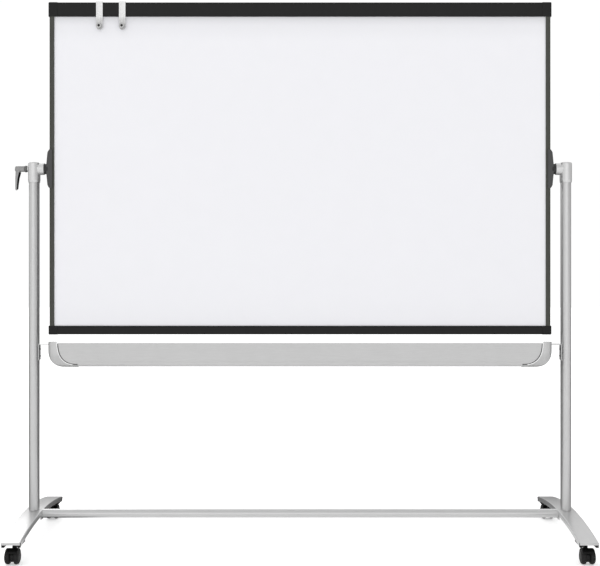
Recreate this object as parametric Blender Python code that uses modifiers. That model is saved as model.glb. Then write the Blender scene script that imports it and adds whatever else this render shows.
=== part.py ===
"""Rolling whiteboard: a double-sided board that turns over between two posts on castored feet.

Metres, +Z up, the floor at z = 0. The front of the board faces -Y and X runs along its width. The
origin is on the floor under the middle of the whole object's box. The clamp lever stands out on the
left only, so the stand's own middle plane is at x = CENTRE_X. Distances called u are measured outwards
from that plane, and side is -1 for the left and 1 for the right, as seen from the front.
"""

import math

import bmesh
import bpy
from mathutils import Matrix, Vector

# --- Driving dimensions -------------------------------------------------------------------------

CENTRE_X = 0.0188
GAP = 0.0003  # left between pieces that touch
PIVOT_Z = 1.357

# Board: a honeycomb panel faced with two writing sheets, in a frame of extruded rails.
BOARD_W = 1.829
BOARD_H = 1.2122
BOARD_RISE = 0.0014  # how far the board's middle is above the pivots
RAIL_DEPTH = 0.030
RAIL_WALL = 0.0022
TOP_RAIL_H = 0.0518
BOTTOM_RAIL_H = 0.0313
SIDE_RAIL_W = 0.0170
PANEL_T = 0.0216
SHEET_T = 0.0003
SHEET_STEP = 0.0001  # how much lower the sheet is where the rails cover it
INSERT = 0.008  # how far the panel's edge goes into each rail
SLOT_SPARE = 0.0004  # between the panel and the slot that holds it
CORNER_W = 0.0326
CORNER_PROUD_U = 0.0034
CORNER_PROUD = 0.0006
CORNER_RADIUS = 0.004
SPIGOT_LENGTH = 0.018

# Pivot: a bracket clipped over each side rail, whose shaft turns in the head on top of each post.
BRACKET_HALF_H = 0.0705
BRACKET_SHOULDER_H = 0.0612
BRACKET_SHOULDER = 0.0064
BRACKET_ROUNDING = 0.0040
BRACKET_THICK = 0.0104
BRACKET_LAP = 0.010  # how far it laps the rail's front and back
BRACKET_FLANGE = 0.002
HUB_RADIUS = 0.0193
HUB_END = 0.9346
SHAFT_RADIUS = 0.006
SHAFT_START = 0.9183
SHAFT_END = 0.983
BUSH_RADIUS = 0.008

# Stand: oval posts in cast heads, on arched channel feet that a round tube joins.
POST_U = 0.9735
POST_W = 0.035
POST_DEPTH = 0.050
POST_WALL = 0.002
HEAD_W = 0.041
HEAD_DEPTH = 0.056
HEAD_TOP = 1.3818
HEAD_BOTTOM = 1.3067
HEAD_TAPER_TOP = 1.3148
HEAD_SOCKET_TOP = 1.3383
HEAD_EDGE = 0.005
HEAD_CHAMFER = 0.003
BARREL_RADIUS = 0.0218
BARREL_END = 0.9350
FOOT_W = 0.0638
FOOT_HALF_LENGTH = 0.337
FOOT_FLANGE_HALF = 0.322  # the flanges end here, short of the plate
FOOT_LIP = 0.008  # the plate's ends are bent down by this
FOOT_LIP_T = 0.003
FOOT_TOP = 0.1055
FOOT_ARC_RADIUS = 1.87
FOOT_DEPTH = 0.0185
FOOT_PLATE = 0.004
FOOT_WALL = 0.0025
BAR_Z = 0.096
BAR_RADIUS = 0.0160
BAR_WALL = 0.002
STUB_END = 0.880
BACKING_HALF_W = 0.014  # the plate inside the foot that backs the stub's weld
BACKING_DROP = 0.0205
BACKING_T = 0.004
SCREW_HOLE = 0.0025
SCREW_SHANK = 0.0021

# Casters: a pair of wheels beside a hooded body, trailing outwards from its stem.
WHEEL_RADIUS = 0.025
WHEEL_W = 0.0185
WHEEL_SIDES = 20
WHEEL_INNER = 0.0065  # from the caster's middle to the wheel's inner face
AXLE_Y = 0.306
STEM_Y = 0.278
STEM_RADIUS = 0.0055
STEM_TOP = 0.0785
HOOD_RADIUS = 0.0285
HOOD_HALF_W = 0.0215
HOOD_TILT = math.radians(30)  # the hood's lower edge slopes by this, higher at its stem's side
HOOD_START = 0.003  # from the axle to that edge
WEB_RADIUS = 0.0175
WHEEL_ROOM = 0.0262
NECK_RADIUS = 0.008
NECK_START = 0.037
NECK_TOP = 0.0545
AXLE_RADIUS = 0.004
PLUG_BOTTOM = 0.0618
PLUG_ENDS = (0.251, 0.3235)
PLUG_FRONT = (0.3225, 0.332)  # its full-width end, under the plate past the flanges
PLUG_ARCH_HALF = 0.0225
PLUG_ARCH_ROUNDING = 0.006
PLUG_ARCH_TOP = 0.070
PLUG_BOSS_RADIUS = 0.0085

# Tray: a trough with a scoop-shaped cap on each end, on two angle brackets.
TRAY_HALF_DEPTH = 0.050
TRAY_TOP = 0.7243
TRAY_REAR_DROP = 0.012  # how much lower the rear wall is than the front wall
CAP_REAR_DROP = 0.0155  # the same for the caps, whose rims slope
TRAY_BOTTOM = 0.638
TRAY_WALL = 0.002
TRAY_RADIUS = 0.014
TRAY_BODY_END = 0.880
TRAY_END = 0.9165
TRAY_CAP_TOP = 0.730
TRAY_CAP_BOTTOM = 0.6363
TRAY_CAP_START = 0.8051
TRAY_CAP_LAP = 0.0015  # how far the cap stands proud of the trough
TRAY_CAP_WALL = 0.0025
TRAY_PLAN_RADIUS = 0.030
TRAY_CORNER = (0.853, 0.701)  # centre of the trough's and the caps' rounded lower corners, in (u, z)
LAP_BOTTOM = 0.6448  # the cap's curved edge runs from here to LAP_END
LAP_END = 0.8782
BRACKET_W = 0.028
BRACKET_PLATE = 0.0025
BRACKET_TOP = 0.7165
BRACKET_FOOT = 0.658
BRACKET_TIP = 0.897
BRACKET_LIP = 0.0103
TRAY_SCREWS_Z = (0.6979, 0.6726)

# Clamp: a screw through the left head into its shaft, turned by a lever that lifts to re-index.
CLAMP_COLLAR = (0.9985, 1.0075)
CLAMP_COLLAR_RADIUS = 0.012
CLAMP_STUD_START = 0.962
CLAMP_STUD_RADIUS = 0.004
STUD_SPARE = 0.002  # left past the stud's end, and past the insert's end in the lever
CLAMP_INSERT_END = 1.030
CLAMP_INSERT_RADIUS = 0.006
WASHER_RADIUS = 0.009
LEVER_HUB = (1.0078, 1.0430)
LEVER_HUB_RADIUS = 0.0106
# Sections of the lever's arm: below the pivot by, outer and inner edge (as u), half its thickness.
LEVER_SECTIONS = [
    (0, 1.0418, 1.0228, 0.0075),
    (0.012, 1.0420, 1.0228, 0.0070),
    (0.035, 1.0430, 1.0285, 0.0058),
    (0.073, 1.0430, 1.0330, 0.0050),
    (0.0765, 1.0417, 1.0345, 0.0036),
    (0.078, 1.0396, 1.0366, 0.0015),
]

# Flip-chart hooks, which straddle the top rail and slide along it.
HOOKS_U = {"left": -0.7319, "right": -0.6486}
HOOK_W = 0.0237
HOOK_T = 0.0026
HOOK_BEND = 0.0015
HOOK_TOP = 1.9675
HOOK_BOTTOM = 1.8636
HOOK_BACK_BOTTOM = 1.928
PEG_Z = 1.8778
# (from the strap's face, radius): a flange, a neck that takes a pad's hole, and a rim.
KNOB_SECTION = [
    (0, 0),
    (0, 0.0105),
    (0.0015, 0.0105),
    (0.0030, 0.0060),
    (0.0100, 0.0060),
    (0.0115, 0.0100),
    (0.0140, 0.0088),
    (0.0140, 0),
]

# --- Modelling choices --------------------------------------------------------------------------

PAST = 0.01  # how far a cutter goes past what it cuts
SIDES_OF_ROD = 16
LARGE_SIDES = 24
SMALL_SIDES = 12
SCREW_SIDES = 10

# --- Derived places -----------------------------------------------------------------------------

HALF_W = BOARD_W / 2
HALF_DEPTH = RAIL_DEPTH / 2
BOARD_TOP = PIVOT_Z + BOARD_RISE + BOARD_H / 2
BOARD_BOTTOM = BOARD_TOP - BOARD_H
PANEL_HALF_W = HALF_W - SIDE_RAIL_W + INSERT
PANEL_TOP = BOARD_TOP - TOP_RAIL_H + INSERT
PANEL_BOTTOM = BOARD_BOTTOM + BOTTOM_RAIL_H - INSERT
SLOT_HALF = PANEL_T / 2 + SLOT_SPARE
CORNER_OUT = HALF_W + CORNER_PROUD_U
# (from the wheel's inner face, radius): a bore, a rounded tread and a shallow recess outside.
WHEEL_SECTION = [
    (0, AXLE_RADIUS + GAP),
    (0, WHEEL_RADIUS - 0.0050),
    (0.0015, WHEEL_RADIUS - 0.0013),
    (0.0050, WHEEL_RADIUS),
    (WHEEL_W - 0.0075, WHEEL_RADIUS),
    (WHEEL_W - 0.0028, WHEEL_RADIUS - 0.0020),
    (WHEEL_W, WHEEL_RADIUS - 0.0065),
    (WHEEL_W, 0.0135),
    (WHEEL_W - 0.0015, 0.0125),
    (WHEEL_W - 0.0015, AXLE_RADIUS + GAP),
]
CORNER_IN = CORNER_OUT - CORNER_W
SIDES = {"left": -1, "right": 1}
ENDS = {"front": -1, "rear": 1}

# --- Scene, materials and placing ---------------------------------------------------------------


def clear_scene():
    for obj in list(bpy.data.objects):
        bpy.data.objects.remove(obj)


def new_collection(name):
    collection = bpy.data.collections.new(name)
    bpy.context.scene.collection.children.link(collection)
    return collection


clear_scene()
PARTS = new_collection("rolling_whiteboard")
CUTTERS = new_collection("cutters")
CUTTERS.hide_render = True


def srgb(red, green, blue):
    """A colour in 0-255 display values, as the linear values that a shader takes."""
    return [((c / 255 + 0.055) / 1.055) ** 2.4 for c in (red, green, blue)] + [1.0]


def new_material(name, colour, roughness, metallic):
    material = bpy.data.materials.new(name)
    material.use_nodes = True
    shader = material.node_tree.nodes["Principled BSDF"]
    shader.inputs["Base Color"].default_value = colour
    shader.inputs["Roughness"].default_value = roughness
    shader.inputs["Metallic"].default_value = metallic
    material.diffuse_color = colour
    return material


MATERIALS = {
    "writing_face": new_material("writing_face", srgb(242, 243, 247), 0.12, 0.0),
    "core": new_material("core", srgb(190, 165, 125), 0.9, 0.0),
    "black_rail": new_material("black_rail", srgb(42, 42, 42), 0.35, 0.0),
    "black_corner": new_material("black_corner", srgb(42, 42, 42), 0.4, 0.0),
    "grey_rail": new_material("grey_rail", srgb(74, 75, 71), 0.4, 0.0),
    "dark_plastic": new_material("dark_plastic", srgb(60, 60, 60), 0.5, 0.0),
    "silver_paint": new_material("silver_paint", srgb(205, 205, 205), 0.35, 0.3),
    "silver_casting": new_material("silver_casting", srgb(215, 215, 215), 0.4, 0.3),
    "grey_plastic": new_material("grey_plastic", srgb(196, 196, 196), 0.4, 0.0),
    "tray_aluminium": new_material("tray_aluminium", srgb(199, 199, 199), 0.4, 0.8),
    "steel": new_material("steel", srgb(180, 180, 180), 0.3, 1.0),
    "bush": new_material("bush", srgb(235, 235, 230), 0.5, 0.0),
    "lever": new_material("lever", srgb(150, 150, 150), 0.45, 0.4),
    "hook": new_material("hook", srgb(236, 236, 236), 0.3, 0.2),
    "black_plastic": new_material("black_plastic", srgb(28, 28, 28), 0.5, 0.0),
    "tyre": new_material("tyre", srgb(38, 38, 38), 0.6, 0.0),
}


def joint_empty(name, u=0.0, y=0.0, z=0.0):
    """An empty on a joint's axis. The pieces of that body hang from it."""
    empty = bpy.data.objects.new("axis_" + name, None)
    empty.location = (CENTRE_X + u, y, z)
    empty.empty_display_size = 0.05
    PARTS.objects.link(empty)
    bpy.context.view_layer.update()
    return empty


def finish(obj, name, material, body):
    """Names a piece, gives it its material and hangs it from its body's empty."""
    obj.name = name
    obj.data.name = name
    obj.data.materials.clear()
    obj.data.materials.append(MATERIALS[material])
    obj.data.set_sharp_from_angle(angle=math.radians(35))
    obj.data.transform(Matrix.Translation(-body.location))
    obj.parent = body


# --- Shapes. Each one's mesh is in world coordinates, and mirrored by side ------------------------

# For a section extruded along an axis: its own x and y become (Y, Z), (X, Z) or (X, Y).
ALONG = {
    "X": Matrix(((0, 0, 1), (1, 0, 0), (0, 1, 0))),
    "Y": Matrix(((1, 0, 0), (0, 0, -1), (0, 1, 0))),
    "Z": Matrix.Identity(3),
}
# For a profile turned about an axis: its own z becomes that axis, the same way round.
ABOUT = {
    "X": ALONG["X"],
    "Y": Matrix(((0, 1, 0), (0, 0, 1), (1, 0, 0))),
    "Z": ALONG["Z"],
}
WELD = 1e-6  # vertices nearer than this are one


def new_object(mesh, collection=PARTS):
    obj = bpy.data.objects.new("shape", mesh)
    collection.objects.link(obj)
    return obj


def evaluated_mesh(obj):
    """The object's final mesh in world coordinates, welded, with its faces pointing out."""
    bpy.context.view_layer.update()
    graph = bpy.context.evaluated_depsgraph_get()
    mesh = bpy.data.meshes.new_from_object(obj.evaluated_get(graph))
    mesh.transform(obj.matrix_world)
    bm = bmesh.new()
    bm.from_mesh(mesh)
    bmesh.ops.remove_doubles(bm, verts=bm.verts, dist=WELD)
    bmesh.ops.recalc_face_normals(bm, faces=bm.faces)
    bm.to_mesh(mesh)
    bm.free()
    return mesh


def settled(obj):
    """A plain mesh object in place of a curve or of an object with modifiers."""
    mesh = evaluated_mesh(obj)
    bpy.data.objects.remove(obj)
    return new_object(mesh)


def prism(loops, axis, low, high):
    """A flat outline, with holes, extruded from low to high along an axis.

    A loop's points are (Y, Z) along X, (X, Z) along Y or (X, Y) along Z.
    """
    curve = bpy.data.curves.new("outline", "CURVE")
    curve.dimensions = "2D"
    curve.fill_mode = "BOTH"
    curve.extrude = (high - low) / 2
    for loop in loops:
        spline = curve.splines.new("POLY")
        spline.points.add(len(loop) - 1)
        for point, (x, y) in zip(spline.points, loop):
            point.co = (x, y, 0, 1)
        spline.use_cyclic_u = True
    obj = new_object(curve)
    middle = Vector([(low + high) / 2 if letter == axis else 0.0 for letter in "XYZ"])
    obj.matrix_world = Matrix.Translation(middle) @ ALONG[axis].to_4x4()
    return settled(obj)


def box(low, high):
    """A box between two corners, given in any order."""
    low, high = Vector(low), Vector(high)
    bm = bmesh.new()
    bmesh.ops.create_cube(bm, size=1)
    size = [abs(a - b) for a, b in zip(low, high)]
    bmesh.ops.scale(bm, vec=size, verts=bm.verts)
    bmesh.ops.translate(bm, vec=(low + high) / 2, verts=bm.verts)
    mesh = bpy.data.meshes.new("box")
    bm.to_mesh(mesh)
    bm.free()
    return new_object(mesh)


def turned(profile, axis, through, sides=SIDES_OF_ROD, turn=0.0):
    """A turned shape.

    profile is (place along the axis, radius) points, from the axis back to it or a ring clear of it.
    """
    ring = all(radius > 0 for _, radius in profile)
    bm = bmesh.new()
    points = [bm.verts.new((radius, 0, place)) for place, radius in profile]
    for first, second in zip(points, points[1:] + points[:1] if ring else points[1:]):
        bm.edges.new((first, second))
    mesh = bpy.data.meshes.new("profile")
    bm.to_mesh(mesh)
    bm.free()
    obj = new_object(mesh)
    screw = obj.modifiers.new("screw", "SCREW")
    screw.steps = screw.render_steps = sides
    screw.use_merge_vertices = True
    screw.merge_threshold = WELD
    origin = Vector(through)
    origin["XYZ".index(axis)] = 0
    twist = Matrix.Rotation(turn, 4, "Z")
    obj.matrix_world = Matrix.Translation(origin) @ ABOUT[axis].to_4x4() @ twist
    return settled(obj)


def rod(radius, axis, low, high, through, sides=SIDES_OF_ROD):
    low, high = sorted((low, high))
    return turned([(low, 0), (low, radius), (high, radius), (high, 0)], axis, through, sides)


def lofted(rings):
    """A solid through rings of equally many points, closed by its first and last ring."""
    bm = bmesh.new()
    rows = [[bm.verts.new(point) for point in ring] for ring in rings]
    count = len(rows[0])
    for lower, upper in zip(rows, rows[1:]):
        for i in range(count):
            j = (i + 1) % count
            bm.faces.new((lower[i], lower[j], upper[j], upper[i]))
    bm.faces.new(rows[0])
    bm.faces.new(rows[-1])
    bmesh.ops.recalc_face_normals(bm, faces=bm.faces)
    mesh = bpy.data.meshes.new("loft")
    bm.to_mesh(mesh)
    bm.free()
    return new_object(mesh)


def combined(obj, operation, *others):
    """obj joined with, cut by or kept inside the others, one after another. The others are used up."""
    for other in others:
        CUTTERS.objects.link(other)
        PARTS.objects.unlink(other)
        boolean = obj.modifiers.new(operation.lower(), "BOOLEAN")
        boolean.operation = operation
        boolean.solver = "EXACT"
        boolean.object = other
        obj = settled(obj)
        bpy.data.objects.remove(other)
    return obj


def joined(obj, *others):
    return combined(obj, "UNION", *others)


def cut(obj, *others):
    return combined(obj, "DIFFERENCE", *others)


def kept_inside(obj, *others):
    return combined(obj, "INTERSECT", *others)


# --- Outlines -----------------------------------------------------------------------------------


def arc(centre, radii, start, end, steps):
    """Points of an ellipse's arc, with its angles in degrees."""
    angles = [math.radians(start + (end - start) * i / steps) for i in range(steps + 1)]
    return [(centre[0] + radii[0] * math.cos(a), centre[1] + radii[1] * math.sin(a)) for a in angles]


def racetrack(width, depth, centre=(0, 0), steps=6):
    """A flat oval: two half circles of diameter width, joined by straight sides along its depth."""
    radius, straight = width / 2, (depth - width) / 2
    far = arc((centre[0], centre[1] + straight), (radius, radius), 0, 180, steps)
    near = arc((centre[0], centre[1] - straight), (radius, radius), 180, 360, steps)
    return far + near


def trough(half_depth, bottom, top, radius, rear_drop=0.0, steps=5):
    """A U's filled outline in (Y, Z), with its lower corners rounded and its rear end lower."""
    left = arc((-half_depth + radius, bottom + radius), (radius, radius), 180, 270, steps)
    right = arc((half_depth - radius, bottom + radius), (radius, radius), 270, 360, steps)
    return [(-half_depth, top)] + left + right + [(half_depth, top - rear_drop)]


def sided(side, points):
    """(u, z) or (u, y) points as world ones, for the left or the right side."""
    return [(CENTRE_X + side * u, other) for u, other in points]


def rail_section(height):
    """(across, inwards) loops of a rail: its outside with the panel's slot, and its closed chamber."""
    slot_top = height - INSERT - SLOT_SPARE
    outside = [
        (-HALF_DEPTH, 0),
        (-HALF_DEPTH, height),
        (-SLOT_HALF, height),
        (-SLOT_HALF, slot_top),
        (SLOT_HALF, slot_top),
        (SLOT_HALF, height),
        (HALF_DEPTH, height),
        (HALF_DEPTH, 0),
    ]
    across, inwards = HALF_DEPTH - RAIL_WALL, slot_top - RAIL_WALL
    chamber = [(-across, RAIL_WALL), (-across, inwards), (across, inwards), (across, RAIL_WALL)]
    return outside, chamber


# --- The board ----------------------------------------------------------------------------------


def make_panel(board):
    half_core = PANEL_T / 2 - SHEET_T - GAP
    left, right = CENTRE_X - PANEL_HALF_W, CENTRE_X + PANEL_HALF_W
    core = box((left, -half_core, PANEL_BOTTOM), (right, half_core, PANEL_TOP))
    finish(core, "honeycomb_core", "core", board)
    shown = GAP + INSERT  # how far in from the sheet's edge its raised face starts
    for name, end in ENDS.items():
        rings = []
        for depth, inset in (
            (PANEL_T / 2 - SHEET_T, 0),
            (PANEL_T / 2 - SHEET_STEP, 0),
            (PANEL_T / 2 - SHEET_STEP, shown),
            (PANEL_T / 2, shown),
        ):
            low, high = PANEL_BOTTOM + inset, PANEL_TOP - inset
            across = (left + inset, low), (right - inset, low), (right - inset, high), (left + inset, high)
            rings.append([(x, end * depth, z) for x, z in across])
        finish(lofted(rings), name + "_writing_sheet", "writing_face", board)


def make_rails(board):
    ends = CENTRE_X - CORNER_IN + GAP, CENTRE_X + CORNER_IN - GAP
    top = [[(y, BOARD_TOP - b) for y, b in loop] for loop in rail_section(TOP_RAIL_H)]
    bottom = [[(y, BOARD_BOTTOM + b) for y, b in loop] for loop in rail_section(BOTTOM_RAIL_H)]
    finish(prism(top, "X", *ends), "top_rail", "black_rail", board)
    finish(prism(bottom, "X", *ends), "bottom_rail", "black_rail", board)
    low, high = BOARD_BOTTOM + BOTTOM_RAIL_H + GAP, BOARD_TOP - TOP_RAIL_H - GAP
    for name, side in SIDES.items():
        section = rail_section(SIDE_RAIL_W)
        loops = [[(CENTRE_X + side * (HALF_W - b), y) for y, b in loop] for loop in section]
        finish(prism(loops, "Z", low, high), name + "_side_rail", "grey_rail", board)


def make_corner(name, side, up, board):
    """A moulded corner with a pocket for the panel and a spigot that plugs into its rail."""
    height = TOP_RAIL_H if up > 0 else BOTTOM_RAIL_H
    edge = BOARD_TOP if up > 0 else BOARD_BOTTOM
    outer_z, inner_z = edge + up * CORNER_PROUD, edge - up * height
    r = CORNER_RADIUS
    rounded = arc((CORNER_OUT - r, outer_z - up * r), (r, up * r), 90, 0, 4)
    outline = [(CORNER_IN, outer_z)] + rounded + [(CORNER_OUT, inner_z), (CORNER_IN, inner_z)]
    half = HALF_DEPTH + CORNER_PROUD
    body = prism([sided(side, outline)], "Y", -half, half)
    past = 0.002  # less than the spigot's length, so the spigot overlaps the body
    panel_edge = PANEL_TOP if up > 0 else PANEL_BOTTOM
    pocket = box(
        (CENTRE_X + side * (CORNER_IN - past), -SLOT_HALF, inner_z - up * past),
        (CENTRE_X + side * (PANEL_HALF_W + GAP), SLOT_HALF, panel_edge + up * GAP),
    )
    across = HALF_DEPTH - RAIL_WALL - GAP
    first = RAIL_WALL + GAP
    last = height - INSERT - SLOT_SPARE - RAIL_WALL - GAP
    spigot = box(
        (CENTRE_X + side * (CORNER_IN - SPIGOT_LENGTH), -across, edge - up * first),
        (CENTRE_X + side * (CORNER_IN + past), across, edge - up * last),
    )
    body = joined(cut(body, pocket), spigot)
    finish(body, name, "black_corner", board)


def make_pivot_bracket(name, side, board):
    """A boat-shaped moulding that clips over the side rail and carries the hub."""
    up_side = [
        (BRACKET_THICK, HUB_RADIUS),
        (BRACKET_SHOULDER, BRACKET_SHOULDER_H),
        (BRACKET_ROUNDING, BRACKET_SHOULDER_H + 0.005),
        (0.0, BRACKET_HALF_H),
        (-BRACKET_LAP + 0.002, BRACKET_HALF_H),
        (-BRACKET_LAP, BRACKET_HALF_H - 0.003),
    ]
    points = up_side + [(b, -z) for b, z in reversed(up_side)]
    outline = [(HALF_W + b, PIVOT_Z + z) for b, z in points]
    half = HALF_DEPTH + BRACKET_FLANGE
    shell = prism([sided(side, outline)], "Y", -half, half)
    far = HALF_W - BRACKET_LAP - PAST
    rail = box(
        (CENTRE_X + side * far, -HALF_DEPTH - GAP, PIVOT_Z - BRACKET_HALF_H - PAST),
        (CENTRE_X + side * (HALF_W + GAP), HALF_DEPTH + GAP, PIVOT_Z + BRACKET_HALF_H + PAST),
    )
    through = (0, 0, PIVOT_Z)
    hub_start, hub_end = CENTRE_X + side * (HALF_W + BRACKET_SHOULDER), CENTRE_X + side * HUB_END
    hub = rod(HUB_RADIUS, "X", hub_start, hub_end, through, LARGE_SIDES)
    bore_end = CENTRE_X + side * (HUB_END + PAST)
    bore_start = CENTRE_X + side * (SHAFT_START - GAP)
    bore = rod(SHAFT_RADIUS + GAP, "X", bore_start, bore_end, through)
    shell = cut(joined(cut(shell, rail), hub), bore)
    finish(shell, name, "dark_plastic", board)


def make_pivot_shaft(name, side, board):
    """A steel pin with a tapped hole in its outer end for the clamp's stud."""
    hole = CLAMP_STUD_RADIUS + GAP
    hole_start = CLAMP_STUD_START - STUD_SPARE
    places = [
        (SHAFT_START, 0),
        (SHAFT_START, SHAFT_RADIUS),
        (SHAFT_END, SHAFT_RADIUS),
        (SHAFT_END, hole),
        (hole_start, hole),
        (hole_start, 0),
    ]
    profile = [(CENTRE_X + side * u, radius) for u, radius in places]
    shaft = turned(profile, "X", (0, 0, PIVOT_Z))
    finish(shaft, name, "steel", board)


def make_board():
    board = joint_empty("board", z=PIVOT_Z)
    make_panel(board)
    make_rails(board)
    for side_name, side in SIDES.items():
        make_corner("top_%s_corner" % side_name, side, 1, board)
        make_corner("bottom_%s_corner" % side_name, side, -1, board)
        make_pivot_bracket(side_name + "_pivot_bracket", side, board)
        make_pivot_shaft(side_name + "_pivot_shaft", side, board)


# --- The stand ----------------------------------------------------------------------------------


def screw_holes(axis, wall, places):
    """Cutters for the holes that screws go through, in the wall at that distance along the axis."""
    reach = 0.012
    return [rod(SCREW_HOLE, axis, wall - reach, wall + reach, place, SMALL_SIDES) for place in places]


def make_post(name, side, stand):
    centre = (CENTRE_X + side * POST_U, 0)
    outside = racetrack(POST_W, POST_DEPTH, centre)
    inside = racetrack(POST_W - 2 * POST_WALL, POST_DEPTH - 2 * POST_WALL, centre)
    tube = prism([outside, inside], "Z", FOOT_TOP + GAP, HEAD_SOCKET_TOP - GAP)
    inner_face = CENTRE_X + side * (POST_U - POST_W / 2)
    holes = screw_holes("X", inner_face, [(0, 0, z) for z in TRAY_SCREWS_Z])
    finish(cut(tube, *holes), name, "silver_paint", stand)


def make_head(name, side, stand):
    """A cast head: a sleeve over the post's top, with a barrel for the board's shaft."""
    centre = (CENTRE_X + side * POST_U, 0)

    def ring(width, depth, z):
        return [(x, y, z) for x, y in racetrack(width, depth, centre)]

    lip = 0.0015
    sleeve = lofted(
        [
            ring(POST_W + 2 * lip, POST_DEPTH + 2 * lip, HEAD_BOTTOM),
            ring(HEAD_W, HEAD_DEPTH, HEAD_TAPER_TOP),
            ring(HEAD_W, HEAD_DEPTH, HEAD_TOP - HEAD_EDGE),
            ring(HEAD_W - HEAD_CHAMFER, HEAD_DEPTH - HEAD_CHAMFER, HEAD_TOP - HEAD_CHAMFER / 2),
            ring(HEAD_W - 2 * HEAD_EDGE, HEAD_DEPTH - 2 * HEAD_EDGE, HEAD_TOP),
        ]
    )
    through = (0, 0, PIVOT_Z)
    middle = CENTRE_X + side * POST_U
    barrel = rod(BARREL_RADIUS, "X", middle, CENTRE_X + side * BARREL_END, through, LARGE_SIDES)
    socket_loop = racetrack(POST_W + 2 * GAP, POST_DEPTH + 2 * GAP, centre)
    socket = prism([socket_loop], "Z", HEAD_BOTTOM - PAST, HEAD_SOCKET_TOP)
    bore_ends = CENTRE_X + side * (BARREL_END - PAST), CENTRE_X + side * (SHAFT_END + 0.0015)
    bore = rod(BUSH_RADIUS + GAP, "X", *bore_ends, through)
    head = cut(joined(sleeve, barrel), socket, bore)
    if side < 0:  # the clamp's stud goes through the left head
        ends = CENTRE_X + side * (SHAFT_END - PAST), CENTRE_X + side * (POST_U + HEAD_W)
        head = cut(head, rod(CLAMP_STUD_RADIUS + GAP, "X", *ends, through, SMALL_SIDES))
    finish(head, name, "silver_casting", stand)


def make_bush(name, side, stand):
    low, high = BARREL_END + 0.0005, SHAFT_END + 0.001
    outer, inner = BUSH_RADIUS, SHAFT_RADIUS + GAP
    places = [(low, outer), (high, outer), (high, inner), (low, inner)]
    bush = turned([(CENTRE_X + side * u, r) for u, r in places], "X", (0, 0, PIVOT_Z))
    finish(bush, name, "bush", stand)


def foot_arc(y, drop=0.0):
    """The height of the foot's top at y, or of the arc that runs drop below it."""
    radius = FOOT_ARC_RADIUS - drop
    return FOOT_TOP - FOOT_ARC_RADIUS + math.sqrt(radius**2 - y**2)


def foot_arc_points(start, end, drop, steps):
    ys = [start + (end - start) * i / steps for i in range(steps + 1)]
    return [(y, foot_arc(y, drop)) for y in ys]


def make_foot(name, side, stand):
    """An arched channel, open below, with bent-down ends and a stub that the crossbar slides onto."""
    far, flange = FOOT_HALF_LENGTH, FOOT_FLANGE_HALF
    behind, lip = far - FOOT_LIP_T, foot_arc(far) - FOOT_LIP
    outline = foot_arc_points(-far, far, 0, 14) + [(far, lip), (behind, lip)]
    outline += foot_arc_points(behind, flange, FOOT_PLATE, 1)
    outline += foot_arc_points(flange, -flange, FOOT_DEPTH, 12)
    outline += foot_arc_points(-flange, -behind, FOOT_PLATE, 1) + [(-behind, lip), (-far, lip)]
    low, high = CENTRE_X + side * POST_U - FOOT_W / 2, CENTRE_X + side * POST_U + FOOT_W / 2
    edge, beyond = flange - GAP / 2, flange + FOOT_WALL
    under = foot_arc_points(-edge, edge, FOOT_PLATE, 12)
    sloped = under[-1][1] - (beyond - edge)
    under = [(-beyond, PAST), (-beyond, sloped)] + under + [(beyond, sloped), (beyond, PAST)]
    foot = prism([outline], "X", low, high)
    foot = cut(foot, prism([under], "X", low + FOOT_WALL, high - FOOT_WALL))
    inner_face = POST_U - FOOT_W / 2
    stub_radius = BAR_RADIUS - BAR_WALL - GAP
    stub_ends = CENTRE_X + side * (inner_face + FOOT_WALL / 2), CENTRE_X + side * STUB_END
    stub = rod(stub_radius, "X", *stub_ends, (0, 0, BAR_Z))
    backing = inner_face + FOOT_WALL
    plate = box(
        (CENTRE_X + side * (backing - 0.0005), -BACKING_HALF_W, BAR_Z - BACKING_DROP),
        (CENTRE_X + side * (backing + BACKING_T), BACKING_HALF_W, BAR_Z + 0.005),
    )
    finish(joined(foot, stub, plate), name, "silver_paint", stand)


def make_foot_plug(name, side, end, stand):
    """A plastic end plug, arched below, with a full-width end and the socket of the caster's stem."""
    middle = CENTRE_X + side * POST_U
    blocks = []
    for (inner, outer), half in ((PLUG_ENDS, FOOT_W / 2 - FOOT_WALL - GAP), (PLUG_FRONT, FOOT_W / 2)):
        top = foot_arc_points(end * inner, end * outer, FOOT_PLATE + GAP, 6)
        outline = top + [(end * outer, PLUG_BOTTOM), (end * inner, PLUG_BOTTOM)]
        blocks.append(prism([outline], "X", middle - half, middle + half))
    w, r, top = PLUG_ARCH_HALF, PLUG_ARCH_ROUNDING, PLUG_ARCH_TOP
    low = PLUG_BOTTOM - PAST
    right = arc((middle + w - r, top - r), (r, r), 0, 90, 4)
    left = arc((middle - w + r, top - r), (r, r), 90, 180, 4)
    arch_loop = [(middle + w, low)] + right + left + [(middle - w, low)]
    arch_ends = end * (PLUG_ENDS[0] - PAST), end * (PLUG_FRONT[1] + PAST)
    arch = prism([arch_loop], "Y", *sorted(arch_ends))
    stem_at = (middle, end * STEM_Y, 0)
    boss = rod(PLUG_BOSS_RADIUS, "Z", PLUG_BOTTOM - 0.004, PLUG_ARCH_TOP + 0.006, stem_at)
    socket = rod(STEM_RADIUS + GAP, "Z", PLUG_BOTTOM - PAST, FOOT_TOP, stem_at)
    plug = cut(joined(cut(joined(*blocks), arch), boss), socket)
    finish(plug, name, "black_plastic", stand)


def screw_profile(seat, out, head_radius, head_height, shank_length):
    """A pan-head screw along an axis: seat is its head's underside, and out the way its head points."""
    return [
        (seat + out * head_height, 0),
        (seat + out * head_height, head_radius * 0.6),
        (seat + out * head_height * 0.6, head_radius),
        (seat, head_radius),
        (seat, SCREW_SHANK),
        (seat - out * shank_length, SCREW_SHANK),
        (seat - out * shank_length, 0),
    ]


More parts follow.
